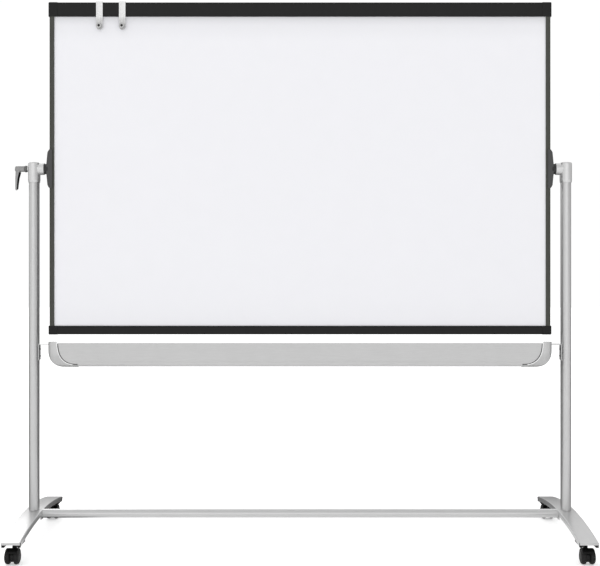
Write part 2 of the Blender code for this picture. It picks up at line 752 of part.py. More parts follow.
def make_crossbar(stand):
    half = POST_U - FOOT_W / 2 - GAP
    low, high = CENTRE_X - half, CENTRE_X + half
    inner = BAR_RADIUS - BAR_WALL
    ring = [(low, BAR_RADIUS), (high, BAR_RADIUS), (high, inner), (low, inner)]
    finish(turned(ring, "X", (0, 0, BAR_Z), LARGE_SIDES), "crossbar", "silver_paint", stand)


def trough_front(grow):
    """The trough's outline from the front, from one end to the other, larger all round by grow."""
    end, bottom, top = TRAY_BODY_END + grow, TRAY_BOTTOM - grow, TRAY_CAP_TOP + PAST
    corner = arc(TRAY_CORNER, (end - TRAY_CORNER[0], TRAY_CORNER[1] - bottom), -90, 0, 10)
    right = corner + [(end, top)]
    return sided(1, right) + sided(-1, right[::-1])


def make_tray_body(stand):
    outside = trough(TRAY_HALF_DEPTH, TRAY_BOTTOM, TRAY_TOP, TRAY_RADIUS, TRAY_REAR_DROP)
    half, floor, radius = TRAY_HALF_DEPTH - TRAY_WALL, TRAY_BOTTOM + TRAY_WALL, TRAY_RADIUS - TRAY_WALL
    inside = trough(half, floor, TRAY_TOP, radius, TRAY_REAR_DROP)
    ends = CENTRE_X - TRAY_END, CENTRE_X + TRAY_END
    body = prism([outside + inside[::-1]], "X", *ends)
    half = TRAY_HALF_DEPTH + PAST
    body = kept_inside(body, prism([trough_front(0)], "Y", -half, half))
    finish(body, "tray_body", "tray_aluminium", stand)


def scoop(side, shrink, start, top):
    """The cap's outer form, smaller all round by shrink, from its outlines in front, above and end view."""
    out, bottom = TRAY_END - shrink, TRAY_CAP_BOTTOM + shrink
    curve = arc(TRAY_CORNER, (out - TRAY_CORNER[0], TRAY_CORNER[1] - bottom), 0, -90, 10)
    front = [(start, top + PAST), (out, top + PAST)] + curve + [(start, bottom)]
    half = TRAY_HALF_DEPTH + TRAY_CAP_LAP - shrink
    r = TRAY_PLAN_RADIUS - shrink
    plan = [(start - PAST, -half)]
    plan += arc((out - r, -half + r), (r, r), -90, 0, 8) + arc((out - r, half - r), (r, r), 0, 90, 8)
    plan += [(start - PAST, half)]
    form = prism([sided(side, front)], "Y", -half - PAST, half + PAST)
    seen_from_above = prism([sided(side, plan)], "Z", bottom - PAST, top + PAST)
    section = trough(half, bottom, top, TRAY_RADIUS + TRAY_CAP_LAP - shrink, CAP_REAR_DROP)
    ends = sorted((CENTRE_X + side * (start - 2 * PAST), CENTRE_X + side * (out + 2 * PAST)))
    return kept_inside(form, seen_from_above, prism([section], "X", *ends))


def make_tray_cap(name, side, stand):
    """A scoop that closes the trough's end and laps its outside, with a curved edge."""
    cap = scoop(side, 0, TRAY_CAP_START, TRAY_CAP_TOP)
    hollow = scoop(side, TRAY_CAP_WALL, TRAY_CAP_START - PAST, TRAY_CAP_TOP + PAST)
    grown = TRAY_HALF_DEPTH + GAP
    inside = trough(grown, TRAY_BOTTOM - GAP, TRAY_CAP_TOP + PAST, TRAY_RADIUS + GAP)
    before, above = TRAY_CAP_START - PAST, TRAY_CAP_TOP + PAST
    ends = sorted((CENTRE_X + side * before, CENTRE_X + side * TRAY_END))
    half = TRAY_HALF_DEPTH + PAST
    body_space = kept_inside(
        prism([inside], "X", *ends), prism([trough_front(GAP)], "Y", -half, half)
    )
    centre = (TRAY_CAP_START, TRAY_CAP_TOP)
    edge = arc(centre, (LAP_END - centre[0], centre[1] - LAP_BOTTOM), -90, 0, 12)
    opening = [(before, LAP_BOTTOM)] + edge + [(LAP_END, above), (before, above)]
    lap_edge = prism([sided(side, opening)], "Y", -half, half)
    half_slot, spare = BRACKET_W / 2 + 2 * GAP, 2 * GAP
    slot = box(
        (CENTRE_X + side * (TRAY_END - PAST), -half_slot, BRACKET_TOP - BRACKET_PLATE - spare),
        (CENTRE_X + side * (TRAY_END + PAST), half_slot, BRACKET_TOP + spare),
    )
    cap = cut(cap, hollow, body_space, lap_edge, slot)
    finish(cap, name, "grey_plastic", stand)


def make_tray_bracket(side_name, side, stand):
    """An angle bracket on the post: its shelf goes through the cap's end and hooks down inside."""
    plate, top = BRACKET_PLATE, BRACKET_TOP
    back = POST_U - POST_W / 2 - GAP
    tip, lip = BRACKET_TIP, BRACKET_TOP - BRACKET_LIP
    outline = [
        (back, BRACKET_FOOT),
        (back, top),
        (tip, top),
        (tip, lip),
        (tip + plate, lip),
        (tip + plate, top - plate),
        (back - plate, top - plate),
        (back - plate, BRACKET_FOOT),
    ]
    angle = prism([sided(side, outline)], "Y", -BRACKET_W / 2, BRACKET_W / 2)
    holes = screw_holes("X", CENTRE_X + side * back, [(0, 0, z) for z in TRAY_SCREWS_Z])
    finish(cut(angle, *holes), side_name + "_tray_bracket", "silver_paint", stand)
    seat = CENTRE_X + side * (back - plate - GAP)
    for place, z in zip(("upper", "lower"), TRAY_SCREWS_Z):
        profile = screw_profile(seat, -side, 0.0042, 0.0034, 0.010)
        screw = turned(profile, "X", (0, 0, z), SCREW_SIDES)
        finish(screw, "%s_%s_tray_screw" % (side_name, place), "steel", stand)


def make_stand():
    stand = joint_empty("stand")
    for side_name, side in SIDES.items():
        make_post(side_name + "_post", side, stand)
        make_head(side_name + "_head", side, stand)
        make_bush(side_name + "_bush", side, stand)
        make_foot(side_name + "_foot", side, stand)
        make_tray_cap(side_name + "_tray_cap", side, stand)
        make_tray_bracket(side_name, side, stand)
        for end_name, end in ENDS.items():
            make_foot_plug("%s_%s_foot_plug" % (end_name, side_name), side, end, stand)
    make_crossbar(stand)
    make_tray_body(stand)


# --- Casters, clamp and hooks -------------------------------------------------------------------


def make_caster(side_name, side, end_name, end):
    """The swivelling body with its stem, hood, web and axle, and its two wheels."""
    middle = POST_U * side
    place = "%s_%s" % (end_name, side_name)
    swivel = joint_empty(place + "_caster", middle, end * STEM_Y, NECK_TOP)
    centre = (CENTRE_X + middle, end * AXLE_Y, WHEEL_RADIUS)
    x = centre[0]
    hood = rod(HOOD_RADIUS, "X", x - HOOD_HALF_W, x + HOOD_HALF_W, centre, LARGE_SIDES)
    reach = 2 * HOOD_RADIUS
    keep = box((x - reach, -reach, HOOD_START), (x + reach, reach, reach))
    tilt = Matrix.Rotation(end * HOOD_TILT, 4, "X")
    keep.data.transform(Matrix.Translation((0, centre[1], centre[2])) @ tilt)
    hood = kept_inside(hood, keep)
    half_web = WHEEL_INNER - 2 * GAP
    web = rod(WEB_RADIUS, "X", x - half_web, x + half_web, centre)
    stem_at = (x, end * STEM_Y, 0)
    neck = rod(NECK_RADIUS, "Z", NECK_START, NECK_TOP, stem_at)
    body = joined(hood, web, neck)
    room_ends = WHEEL_INNER - GAP, HOOD_HALF_W + PAST
    rooms = [
        rod(WHEEL_ROOM, "X", *(x + way * b for b in room_ends), centre, LARGE_SIDES)
        for way in SIDES.values()
    ]
    body = cut(body, *rooms)
    half_axle = WHEEL_INNER + WHEEL_W - 0.0005
    axle = rod(AXLE_RADIUS, "X", x - half_axle, x + half_axle, centre, SMALL_SIDES)
    stem = rod(STEM_RADIUS, "Z", NECK_TOP - 0.003, STEM_TOP, stem_at, SMALL_SIDES)
    finish(joined(body, axle, stem), place + "_caster_body", "black_plastic", swivel)

    # The flats of the wheel's sides are WHEEL_RADIUS from its axis, and one of them lies on the floor.
    grow = 1 / math.cos(math.pi / WHEEL_SIDES)
    for way_name, way in (("inner", -side), ("outer", side)):
        axis = joint_empty("%s_%s_wheel" % (place, way_name), middle, end * AXLE_Y, WHEEL_RADIUS)
        profile = [(x + way * (WHEEL_INNER + b), radius * grow) for b, radius in WHEEL_SECTION]
        wheel = turned(profile, "X", centre, WHEEL_SIDES, math.pi / WHEEL_SIDES)
        finish(wheel, "%s_%s_wheel" % (place, way_name), "tyre", axis)


def make_clamp(stand):
    """The clamp's washer, its screw with collar and insert, and the lever on the insert. All on the left."""
    side = -1
    through = (0, 0, PIVOT_Z)
    face = POST_U + HEAD_W / 2 + GAP
    hole = CLAMP_STUD_RADIUS + GAP
    ring = [(face, WASHER_RADIUS), (CLAMP_COLLAR[0] - GAP, WASHER_RADIUS)]
    ring += [(CLAMP_COLLAR[0] - GAP, hole), (face, hole)]
    washer = turned([(CENTRE_X + side * u, r) for u, r in ring], "X", through)
    finish(washer, "clamp_washer", "steel", stand)

    screw_axis = joint_empty("clamp_screw", side * CLAMP_COLLAR[0], z=PIVOT_Z)
    places = [
        (CLAMP_STUD_START, 0),
        (CLAMP_STUD_START, CLAMP_STUD_RADIUS),
        (CLAMP_COLLAR[0], CLAMP_STUD_RADIUS),
        (CLAMP_COLLAR[0], CLAMP_COLLAR_RADIUS),
        (CLAMP_COLLAR[1], CLAMP_COLLAR_RADIUS),
        (CLAMP_COLLAR[1], CLAMP_INSERT_RADIUS),
        (CLAMP_INSERT_END, CLAMP_INSERT_RADIUS),
        (CLAMP_INSERT_END, 0),
    ]
    screw = turned([(CENTRE_X + side * u, r) for u, r in places], "X", through)
    finish(screw, "clamp_screw", "steel", screw_axis)

    lever_axis = joint_empty("clamp_lever", side * LEVER_HUB[0], z=PIVOT_Z)
    bore, depth = CLAMP_INSERT_RADIUS + GAP, CLAMP_INSERT_END + STUD_SPARE
    start, end = LEVER_HUB
    radius = LEVER_HUB_RADIUS
    places = [
        (start, 0),
        (start, radius),
        (end - 0.0035, radius),
        (end - 0.001, radius - 0.0015),
        (end, radius - 0.004),
        (end, 0),
    ]
    hub = turned([(CENTRE_X + side * u, r) for u, r in places], "X", through)
    arm = lever_arm(side)
    room = rod(bore, "X", CENTRE_X + side * (start - PAST), CENTRE_X + side * depth, through)
    lever = cut(joined(hub, arm), room)
    finish(lever, "clamp_lever", "lever", lever_axis)


def lever_arm(side):
    """A bar that hangs from the hub's outer half, and tapers to a rounded end."""
    rings = []
    for drop, outer, inner, thick in LEVER_SECTIONS:
        centre = (CENTRE_X + side * (outer + inner) / 2, 0)
        oval = arc(centre, ((outer - inner) / 2, thick), 0, 360, SIDES_OF_ROD)[:-1]
        rings.append([(x, y, PIVOT_Z - drop) for x, y in oval])
    return lofted(rings)


def make_hook(name, u):
    """A strap bent over the top rail, with a round lower end and a knob for a pad's hole."""
    axis = joint_empty(name, u, z=BOARD_TOP)
    inner = HALF_DEPTH + GAP
    outer = inner + HOOK_T
    ceiling = BOARD_TOP + GAP
    r = HOOK_BEND
    section = [(-inner, HOOK_BOTTOM), (-inner, ceiling), (inner, ceiling), (inner, HOOK_BACK_BOTTOM)]
    section += [(outer, HOOK_BACK_BOTTOM)]
    section += arc((outer - r, HOOK_TOP - r), (r, r), 0, 90, 3)
    section += arc((-outer + r, HOOK_TOP - r), (r, r), 90, 180, 3)
    section += [(-outer, HOOK_BOTTOM)]
    x, half = CENTRE_X + u, HOOK_W / 2
    strap = prism([section], "X", x - half, x + half)
    end = arc((x, HOOK_BOTTOM + half), (half, half), 180, 360, 14)
    outline = end + [(x + half, HOOK_TOP + PAST), (x - half, HOOK_TOP + PAST)]
    strap = kept_inside(strap, prism([outline], "Y", -outer - PAST, outer + PAST))
    finish(strap, name + "_strap", "hook", axis)
    profile = [(-outer - GAP - b, radius) for b, radius in KNOB_SECTION]
    knob = turned(profile, "Y", (x, 0, PEG_Z))
    finish(knob, name + "_knob", "hook", axis)


make_board()
make_stand()
for _side_name, _side in SIDES.items():
    for _end_name, _end in ENDS.items():
        make_caster(_side_name, _side, _end_name, _end)
make_clamp(bpy.data.objects["axis_stand"])
for _name, _u in HOOKS_U.items():
    make_hook(_name + "_hook", _u)
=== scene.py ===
"""Looks of the rolling whiteboard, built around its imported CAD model.

Metres, +Z up, the front of the board facing -Y. Distances called u are measured outwards from the
stand's middle plane, x = CENTRE_X, and side is -1 for the left and 1 for the right, as seen from the
front. Each visible piece is built here as a finer mesh in place of its CAD node, or the node itself
gets a better material.
"""

import math

import bmesh
import bpy
from mathutils import Matrix, Vector


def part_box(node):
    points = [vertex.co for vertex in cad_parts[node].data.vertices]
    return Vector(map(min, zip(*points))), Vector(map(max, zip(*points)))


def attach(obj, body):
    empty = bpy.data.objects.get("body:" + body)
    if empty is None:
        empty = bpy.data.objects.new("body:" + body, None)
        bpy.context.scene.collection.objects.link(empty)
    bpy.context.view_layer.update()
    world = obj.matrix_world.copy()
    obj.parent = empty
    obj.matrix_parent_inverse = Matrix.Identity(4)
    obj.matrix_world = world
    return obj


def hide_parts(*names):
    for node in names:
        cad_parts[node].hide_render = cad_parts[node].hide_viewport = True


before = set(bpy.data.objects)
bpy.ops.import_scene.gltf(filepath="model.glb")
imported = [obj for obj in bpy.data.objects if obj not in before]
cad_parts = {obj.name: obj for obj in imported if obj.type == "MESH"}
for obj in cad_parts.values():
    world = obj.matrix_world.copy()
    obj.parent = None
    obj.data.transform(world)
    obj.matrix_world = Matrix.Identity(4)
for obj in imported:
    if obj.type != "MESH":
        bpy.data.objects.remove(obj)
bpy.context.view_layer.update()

# --- Places, from the CAD nodes' boxes ---


def node_span(node, axis):
    low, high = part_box(node)
    return low["xyz".index(axis)], high["xyz".index(axis)]


def middle(node, axis):
    return sum(node_span(node, axis)) / 2


CENTRE_X = middle("crossbar", "x")
PIVOT_Z = middle("left_pivot_shaft", "z")
POST_U = middle("right_post", "x") - CENTRE_X


def u_span(node):
    low, high = node_span(node, "x")
    return low - CENTRE_X, high - CENTRE_X


GLASS_TOP, BOARD_TOP = node_span("top_rail", "z")
BOARD_BOTTOM, GLASS_BOTTOM = node_span("bottom_rail", "z")
TOP_RAIL_H = BOARD_TOP - GLASS_TOP
BOTTOM_RAIL_H = GLASS_BOTTOM - BOARD_BOTTOM
HALF_W = u_span("right_side_rail")[1]
SIDE_RAIL_W = HALF_W - u_span("right_side_rail")[0]
HALF_DEPTH = node_span("top_rail", "y")[1]
SHEET_FACE = node_span("rear_writing_sheet", "y")[1]
RAIL_END = u_span("top_rail")[1]
CORNER_END = u_span("top_right_corner")[1]
CORNER_TOP = node_span("top_right_corner", "z")[1]
CORNER_DEPTH = node_span("top_right_corner", "y")[1]

BRACKET_LAP = HALF_W - u_span("right_pivot_bracket")[0]
BRACKET_HALF_H = node_span("right_pivot_bracket", "z")[1] - PIVOT_Z
BRACKET_DEPTH = node_span("right_pivot_bracket", "y")[1]
HUB_END = u_span("right_pivot_bracket")[1]
HUB_RADIUS = 0.0193
SHAFT_BORE = 0.0063

POST_W = node_span("right_post", "x")[1] - node_span("right_post", "x")[0]
POST_DEPTH = 2 * node_span("right_post", "y")[1]
POST_TOP = node_span("right_post", "z")[1]
POST_WALL = 0.002
HEAD_W = u_span("right_head")[1] - POST_U
HEAD_DEPTH = 2 * node_span("right_head", "y")[1]
HEAD_BOTTOM, HEAD_TOP = node_span("right_head", "z")
BARREL_RADIUS = 0.0218
BARREL_END = u_span("right_head")[0]
BUSH_RADIUS, BUSH_END = 0.0083, 0.9845
SCREW_BORE = 0.0043

FOOT_HALF_W = u_span("right_foot")[1] - POST_U
FOOT_TOP = node_span("right_foot", "z")[1]
FOOT_HALF_LENGTH = node_span("right_foot", "y")[1]
FOOT_FLANGE_HALF = 0.322
FOOT_LIP, FOOT_LIP_T = 0.008, 0.003
FOOT_RADIUS = 1.87
FOOT_DEPTH, FOOT_PLATE, FOOT_WALL = 0.0185, 0.004, 0.0025
PLUG_INNER, PLUG_FRONT = 0.251, 0.332
BAR_Z = middle("crossbar", "z")
BAR_RADIUS = node_span("crossbar", "z")[1] - BAR_Z
BAR_HALF = u_span("crossbar")[1]

WHEEL_RADIUS = 0.025
AXLE_Y = middle("rear_left_inner_wheel", "y")
STEM_Y = 0.278
STEM_RADIUS, STEM_TOP = 0.0055, 0.0785
CASTER_TOP = 0.0545

TRAY_HALF = node_span("tray_body", "y")[1]
TRAY_BOTTOM, TRAY_TOP = node_span("tray_body", "z")
TRAY_BODY_END = u_span("tray_body")[1]
TRAY_WALL = 0.002
TRAY_REAR_DROP, CAP_REAR_DROP = 0.012, 0.0155
TRAY_CORNER = (0.853, 0.701)
CAP_BOTTOM, CAP_TOP = node_span("right_tray_cap", "z")
CAP_START, CAP_END = u_span("right_tray_cap")
CAP_HALF = node_span("right_tray_cap", "y")[1]
LAP_BOTTOM, LAP_END = 0.6448, 0.8797
SCREWS_Z = [middle("right_%s_tray_screw" % n, "z") for n in ("upper", "lower")]

SIDES = {"left": -1, "right": 1}
ENDS = {"front": -1, "rear": 1}
GAP = 0.0003  # between neighbours
PAST = 0.01  # how far a cutter reaches beyond what it cuts

# --- Materials ---


def srgb(red, green, blue):
    """A colour in 0-255 display values, as the linear values that a shader takes."""
    return [((c / 255 + 0.055) / 1.055) ** 2.4 for c in (red, green, blue)]


class Nodes:
    """A node tree, with short ways to add to it."""

    def __init__(self, tree, coordinates):
        self.tree = tree
        self.place = self.add("ShaderNodeTexCoord").outputs[coordinates]

    def add(self, kind, **settings):
        node = self.tree.nodes.new(kind)
        for key, value in settings.items():
            setattr(node, key, value)
        return node

    def link(self, source, target):
        self.tree.links.new(source, target)

    def axis(self, letter):
        split = self.add("ShaderNodeSeparateXYZ")
        self.link(self.place, split.inputs["Vector"])
        return split.outputs[letter]

    def spread(self, source, start, end, low, high, interpolation="SMOOTHSTEP"):
        """source, from start to end, mapped to low to high."""
        node = self.add("ShaderNodeMapRange", interpolation_type=interpolation)
        for key, value in (("From Min", start), ("From Max", end), ("To Min", low), ("To Max", high)):
            node.inputs[key].default_value = value
        self.link(source, node.inputs["Value"])
        return node.outputs["Result"]

    def maths(self, operation, first, second):
        node = self.add("ShaderNodeMath", operation=operation)
        for socket, value in zip(node.inputs, (first, second)):
            if isinstance(value, float):
                socket.default_value = value
            else:
                self.link(value, socket)
        return node.outputs["Value"]

    def seen(self):
        """1 where the camera looks straight at it, and 0 for light and reflections."""
        return self.add("ShaderNodeLightPath").outputs["Is Camera Ray"]


class Paint(Nodes):
    """A new material's node tree."""

    def __init__(self, name):
        self.material = bpy.data.materials.new(name)
        self.material.use_nodes = True
        super().__init__(self.material.node_tree, "Object")
        self.shader = self.tree.nodes["Principled BSDF"]

    def noise(self, scale, detail=2.0, stretch=(1, 1, 1)):
        """Noise over the piece, with scale in cycles per metre."""
        mapping = self.add("ShaderNodeMapping")
        mapping.inputs["Scale"].default_value = stretch
        self.link(self.place, mapping.inputs["Vector"])
        noise = self.add("ShaderNodeTexNoise")
        noise.inputs["Scale"].default_value = scale
        noise.inputs["Detail"].default_value = detail
        self.link(mapping.outputs["Vector"], noise.inputs["Vector"])
        return noise.outputs["Fac"]

    def cloud(self, noise, share):
        """Noise as a factor that goes from 1 - share to 1 + share."""
        return self.spread(noise, 0.3, 0.7, 1 - share, 1 + share, "LINEAR")

    def colour(self, base, factor):
        """base, multiplied by factor, as the shader's colour."""
        mix = self.add("ShaderNodeVectorMath", operation="SCALE")
        mix.inputs[0].default_value = srgb(*base)
        self.link(factor, mix.inputs["Scale"])
        self.link(mix.outputs["Vector"], self.shader.inputs["Base Color"])

    def bump(self, height, distance):
        node = self.add("ShaderNodeBump")
        node.inputs["Distance"].default_value = distance
        self.link(height, node.inputs["Height"])
        self.link(node.outputs["Normal"], self.shader.inputs["Normal"])


def surface(name, colour, rough, metallic=0.0, mottle=0.04, grain=0.10, grain_scale=1400, bump=0.00003,
            stretch=(1, 1, 1), coat=0.0, specular=0.5, painted_shade_bands=()):
    """A finish with cloudy and fine variation of its colour, roughness and height.

    A painted shade band is (axis, start, end, low, high): the colour is multiplied by low at start to high at
    end.
    """
    paint = Paint(name)
    values = (("Metallic", metallic), ("Coat Weight", coat), ("Coat Roughness", 0.08))
    for key, value in values + (("Specular IOR Level", specular),):
        paint.shader.inputs[key].default_value = value
    fine, clouds = paint.noise(grain_scale, 2.0, stretch), paint.noise(14.0, 3.0)
    factor = paint.maths("MULTIPLY", paint.cloud(fine, grain), paint.cloud(clouds, mottle))
    # Each painted shade band darkens the colour along an axis.
    for letter, start, end, low, high in painted_shade_bands:
        factor = paint.maths("MULTIPLY", factor, paint.spread(paint.axis(letter), start, end, low, high))
    paint.colour(colour, factor)
    uneven = paint.spread(paint.noise(60.0, 3.0), 0.3, 0.7, rough * 0.88, rough * 1.12, "LINEAR")
    paint.link(uneven, paint.shader.inputs["Roughness"])
    paint.bump(fine, bump)
    return paint.material


def grey(value):
    return (value, value, value)


# Painted shade: the board is greyer under its top rail, the hooks at their lower ends and the caps at their
# lower corners, standing in for the shade that falls there.
PAINTED_SHADE_UNDER_RAIL = [
    ("Z", GLASS_TOP - 0.035, GLASS_TOP, 1.0, 0.86),
    ("Z", GLASS_TOP - 0.100, GLASS_TOP - 0.01, 1.0, 0.93),
]
# Painted shade, darker towards the hooks' lower ends.
PAINTED_SHADE_HOOK_END = [("Z", 1.900, 1.914, 0.80, 1.0)]
# Painted shade, darker towards the caps' lower corners.
PAINTED_SHADE_CAP_CORNER = [("Z", 0.664, 0.700, 0.86, 1.0)]
BRACKET = dict(grain=0.08, grain_scale=1300, bump=0.00006, specular=0.25)
NICKEL = dict(mottle=0.02, grain=0.03, bump=0.00001)
PAINTS = {
    "writing_face": surface(
        "enamel", (240, 240, 244), 0.16, 0, 0.004, 0.002, 900, 0.000004, coat=0.3, painted_shade_bands=PAINTED_SHADE_UNDER_RAIL
    ),
    "core": surface("honeycomb_paper", (190, 165, 125), 0.9, 0, 0.08, 0.12, 300, 0.0004),
    "black_rail": surface("black_rail_paint", grey(24), 0.40, grain_scale=2200, specular=0.2),
    "black_corner": surface(
        "black_corner_plastic", grey(26), 0.5, 0, 0.05, 0.12, bump=0.00005, specular=0.2
    ),
    "grey_rail": surface("olive_grey_rail_paint", (68, 69, 64), 0.45, 0, 0.03, 0.06, 2200, specular=0.25),
    "dark_plastic": surface("bracket_plastic", grey(74), 0.5, **BRACKET),
    "hub_plastic": surface("hub_plastic", grey(50), 0.5, **BRACKET),
    "silver_paint": surface("silver_powder_paint", grey(199), 0.32, 0.72, 0.010, 0.03, 2000, 0.000004),
    "silver_casting": surface("silver_cast_paint", grey(210), 0.34, 0.6, 0.015, 0.03, 1500, 0.00001),
    "grey_plastic": surface(
        "cap_plastic", grey(196), 0.24, 0.40, 0.012, 0.03, 1200, 0.00001, painted_shade_bands=PAINTED_SHADE_CAP_CORNER
    ),
    "tray_aluminium": surface(
        "tray_satin", grey(196), 0.42, 0.15, 0.01, 0.035, 900, 0.00001, stretch=(0.03, 1, 1)
    ),
    "steel": surface("zinc_plate", grey(150), 0.35, 0.9, 0.05, grain_scale=1500),
    "dark_steel": surface("dark_screw_steel", grey(92), 0.4, 0.8, 0.05, grain_scale=1500),
    "bush": surface("bush_nylon", (235, 235, 230), 0.5, 0, 0.02, 0.03, 900),
    "lever": surface("lever_paint", grey(150), 0.45, 0.3, grain=0.08, bump=0.00008),
    # Near-black painted shade, filling the lever arm's open hollow and the knob's tip hole.
    "channel": surface("hollow_painted_shade", grey(6), 0.6, bump=0.00005, specular=0.1),
    # A raised bead coloured much lighter than the cap, as a painted highlight along the cap's edge.
    "bead": surface("bead_plastic_painted_highlight", grey(250), 0.2, 0.3, 0.01, 0.02, 1500, 0.00002),
    # Painted shadow along the caps' curved edges on the trough's face.
    "lap": surface("lap_shadow", grey(94), 0.5, 0.1, grain=0.05, grain_scale=1200, specular=0.2),
    "collar": surface("collar_steel", grey(104), 0.42, 0.5, grain=0.08, bump=0.00004),
    "hook": surface("hook_nickel", grey(222), 0.26, 0.35, painted_shade_bands=PAINTED_SHADE_HOOK_END, **NICKEL),
    "knob": surface("knob_nickel", grey(176), 0.26, 0.45, **NICKEL),
    "black_plastic": surface("black_nylon", grey(22), 0.42, 0, 0.05, 0.12, 1300, 0.00006, specular=0.22),
    "tyre": surface("tyre_polyurethane", grey(26), 0.5, 0, 0.08, 0.15, 1000, 0.00008, specular=0.22),
}

# --- Shapes ---

CUTTERS = bpy.data.collections.new("cutters")
SHOP = bpy.context.scene.collection

# For a section extruded along an axis: its own x and y become (Y, Z), (X, Z) or (X, Y).
ALONG = {
    "X": Matrix(((0, 0, 1), (1, 0, 0), (0, 1, 0))),
    "Y": Matrix(((1, 0, 0), (0, 0, -1), (0, 1, 0))),
    "Z": Matrix.Identity(3),
}
# For a profile turned about an axis: its own z becomes that axis, the same way round.
ABOUT = {"X": ALONG["X"], "Y": Matrix(((0, 1, 0), (0, 0, 1), (1, 0, 0))), "Z": ALONG["Z"]}
WELD = 1e-6


def new_object(mesh):
    obj = bpy.data.objects.new("shape", mesh)
    SHOP.objects.link(obj)
    return obj


def settled(obj):
    """A plain mesh object, in world coordinates, in place of a curve or one with modifiers."""
    bpy.context.view_layer.update()
    graph = bpy.context.evaluated_depsgraph_get()
    mesh = bpy.data.meshes.new_from_object(obj.evaluated_get(graph))
    mesh.transform(obj.matrix_world)
    bm = bmesh.new()
    bm.from_mesh(mesh)
    bmesh.ops.remove_doubles(bm, verts=bm.verts, dist=WELD)
    bmesh.ops.recalc_face_normals(bm, faces=bm.faces)
    bm.to_mesh(mesh)
    bm.free()
    bpy.data.objects.remove(obj)
    return new_object(mesh)


def mesh_object(build):
    """An object whose mesh is what build(bmesh) makes."""
    bm = bmesh.new()
    build(bm)
    bmesh.ops.recalc_face_normals(bm, faces=bm.faces)
    mesh = bpy.data.meshes.new("shape")
    bm.to_mesh(mesh)
    bm.free()
    return new_object(mesh)


def prism(loops, axis, low, high):
    """A flat outline, with holes, extruded from low to high along an axis."""
    curve = bpy.data.curves.new("outline", "CURVE")
    curve.dimensions = "2D"
    curve.fill_mode = "BOTH"
    curve.extrude = abs(high - low) / 2
    for loop in loops:
        spline = curve.splines.new("POLY")
        spline.points.add(len(loop) - 1)
        for point, (x, y) in zip(spline.points, loop):
            point.co = (x, y, 0, 1)
        spline.use_cyclic_u = True
    obj = new_object(curve)
    centre = Vector([(low + high) / 2 if letter == axis else 0.0 for letter in "XYZ"])
    obj.matrix_world = Matrix.Translation(centre) @ ALONG[axis].to_4x4()
    return settled(obj)


def box(low, high):
    low, high = Vector(low), Vector(high)

    def build(bm):
        bmesh.ops.create_cube(bm, size=1)
        bmesh.ops.scale(bm, vec=[abs(a - b) for a, b in zip(low, high)], verts=bm.verts)
        bmesh.ops.translate(bm, vec=(low + high) / 2, verts=bm.verts)

    return mesh_object(build)


def turned(profile, axis, through, sides):
    """A turned shape: (place along the axis, radius) points, from the axis back to it or a closed ring."""
    ring = all(radius > 0 for _, radius in profile)
    bm = bmesh.new()
    points = [bm.verts.new((radius, 0, place)) for place, radius in profile]
    for first, second in zip(points, points[1:] + points[:1] if ring else points[1:]):
        bm.edges.new((first, second))
    mesh = bpy.data.meshes.new("profile")
    bm.to_mesh(mesh)
    bm.free()
    obj = new_object(mesh)
    screw = obj.modifiers.new("screw", "SCREW")
    screw.steps = screw.render_steps = sides
    screw.use_merge_vertices = True
    screw.merge_threshold = WELD
    origin = Vector(through)
    origin["XYZ".index(axis)] = 0
    obj.matrix_world = Matrix.Translation(origin) @ ABOUT[axis].to_4x4()
    return settled(obj)


def rod(radius, axis, low, high, through, sides=48):
    low, high = sorted((low, high))
    return turned([(low, 0), (low, radius), (high, radius), (high, 0)], axis, through, sides)


def lofted(rings):
    """A solid through rings of equally many points, closed by its first and last ring."""

    def build(bm):
        rows = [[bm.verts.new(point) for point in ring] for ring in rings]
        count = len(rows[0])
        for lower, upper in zip(rows, rows[1:]):
            for i in range(count):
                j = (i + 1) % count
                bm.faces.new((lower[i], lower[j], upper[j], upper[i]))
        bm.faces.new(rows[0])
        bm.faces.new(rows[-1])

    return mesh_object(build)


def curve_tube(points, radius):
    """A round bead along a line of points."""
    curve = bpy.data.curves.new("bead", "CURVE")
    curve.dimensions = "3D"
    curve.bevel_depth = radius
    curve.bevel_resolution = 4
    curve.use_fill_caps = True
    spline = curve.splines.new("POLY")
    spline.points.add(len(points) - 1)
    for point, place in zip(spline.points, points):
        point.co = (*place, 1)
    return settled(new_object(curve))


def combined(obj, operation, *others):
    for other in others:
        CUTTERS.objects.link(other)
        SHOP.objects.unlink(other)
        boolean = obj.modifiers.new(operation.lower(), "BOOLEAN")
        boolean.operation = operation
        boolean.solver = "EXACT"
        boolean.object = other
        obj = settled(obj)
        bpy.data.objects.remove(other)
    return obj


def joined(obj, *others):
    return combined(obj, "UNION", *others)


def cut(obj, *others):
    return combined(obj, "DIFFERENCE", *others)


def kept_inside(obj, *others):
    return combined(obj, "INTERSECT", *others)


def eased(obj, width, segments=2, angle=50):
    """Rounds the edges that are sharper than angle."""
    bevel = obj.modifiers.new("bevel", "BEVEL")
    bevel.width = width
    bevel.segments = segments
    bevel.limit_method = "ANGLE"
    bevel.angle_limit = math.radians(angle)
    return settled(obj)


def cast(obj, voxel, rounds):
    """Softens every edge and inner corner, as a mould does."""
    remesh = obj.modifiers.new("remesh", "REMESH")
    remesh.mode = "VOXEL"
    remesh.voxel_size = voxel
    smooth = obj.modifiers.new("smooth", "SMOOTH")
    smooth.factor = 0.5
    smooth.iterations = rounds
    return settled(obj)


def arc(centre, radii, start, end, steps):
    """Points of an ellipse's arc, with its angles in degrees."""
    angles = [math.radians(start + (end - start) * i / steps) for i in range(steps + 1)]
    return [(centre[0] + radii[0] * math.cos(a), centre[1] + radii[1] * math.sin(a)) for a in angles]


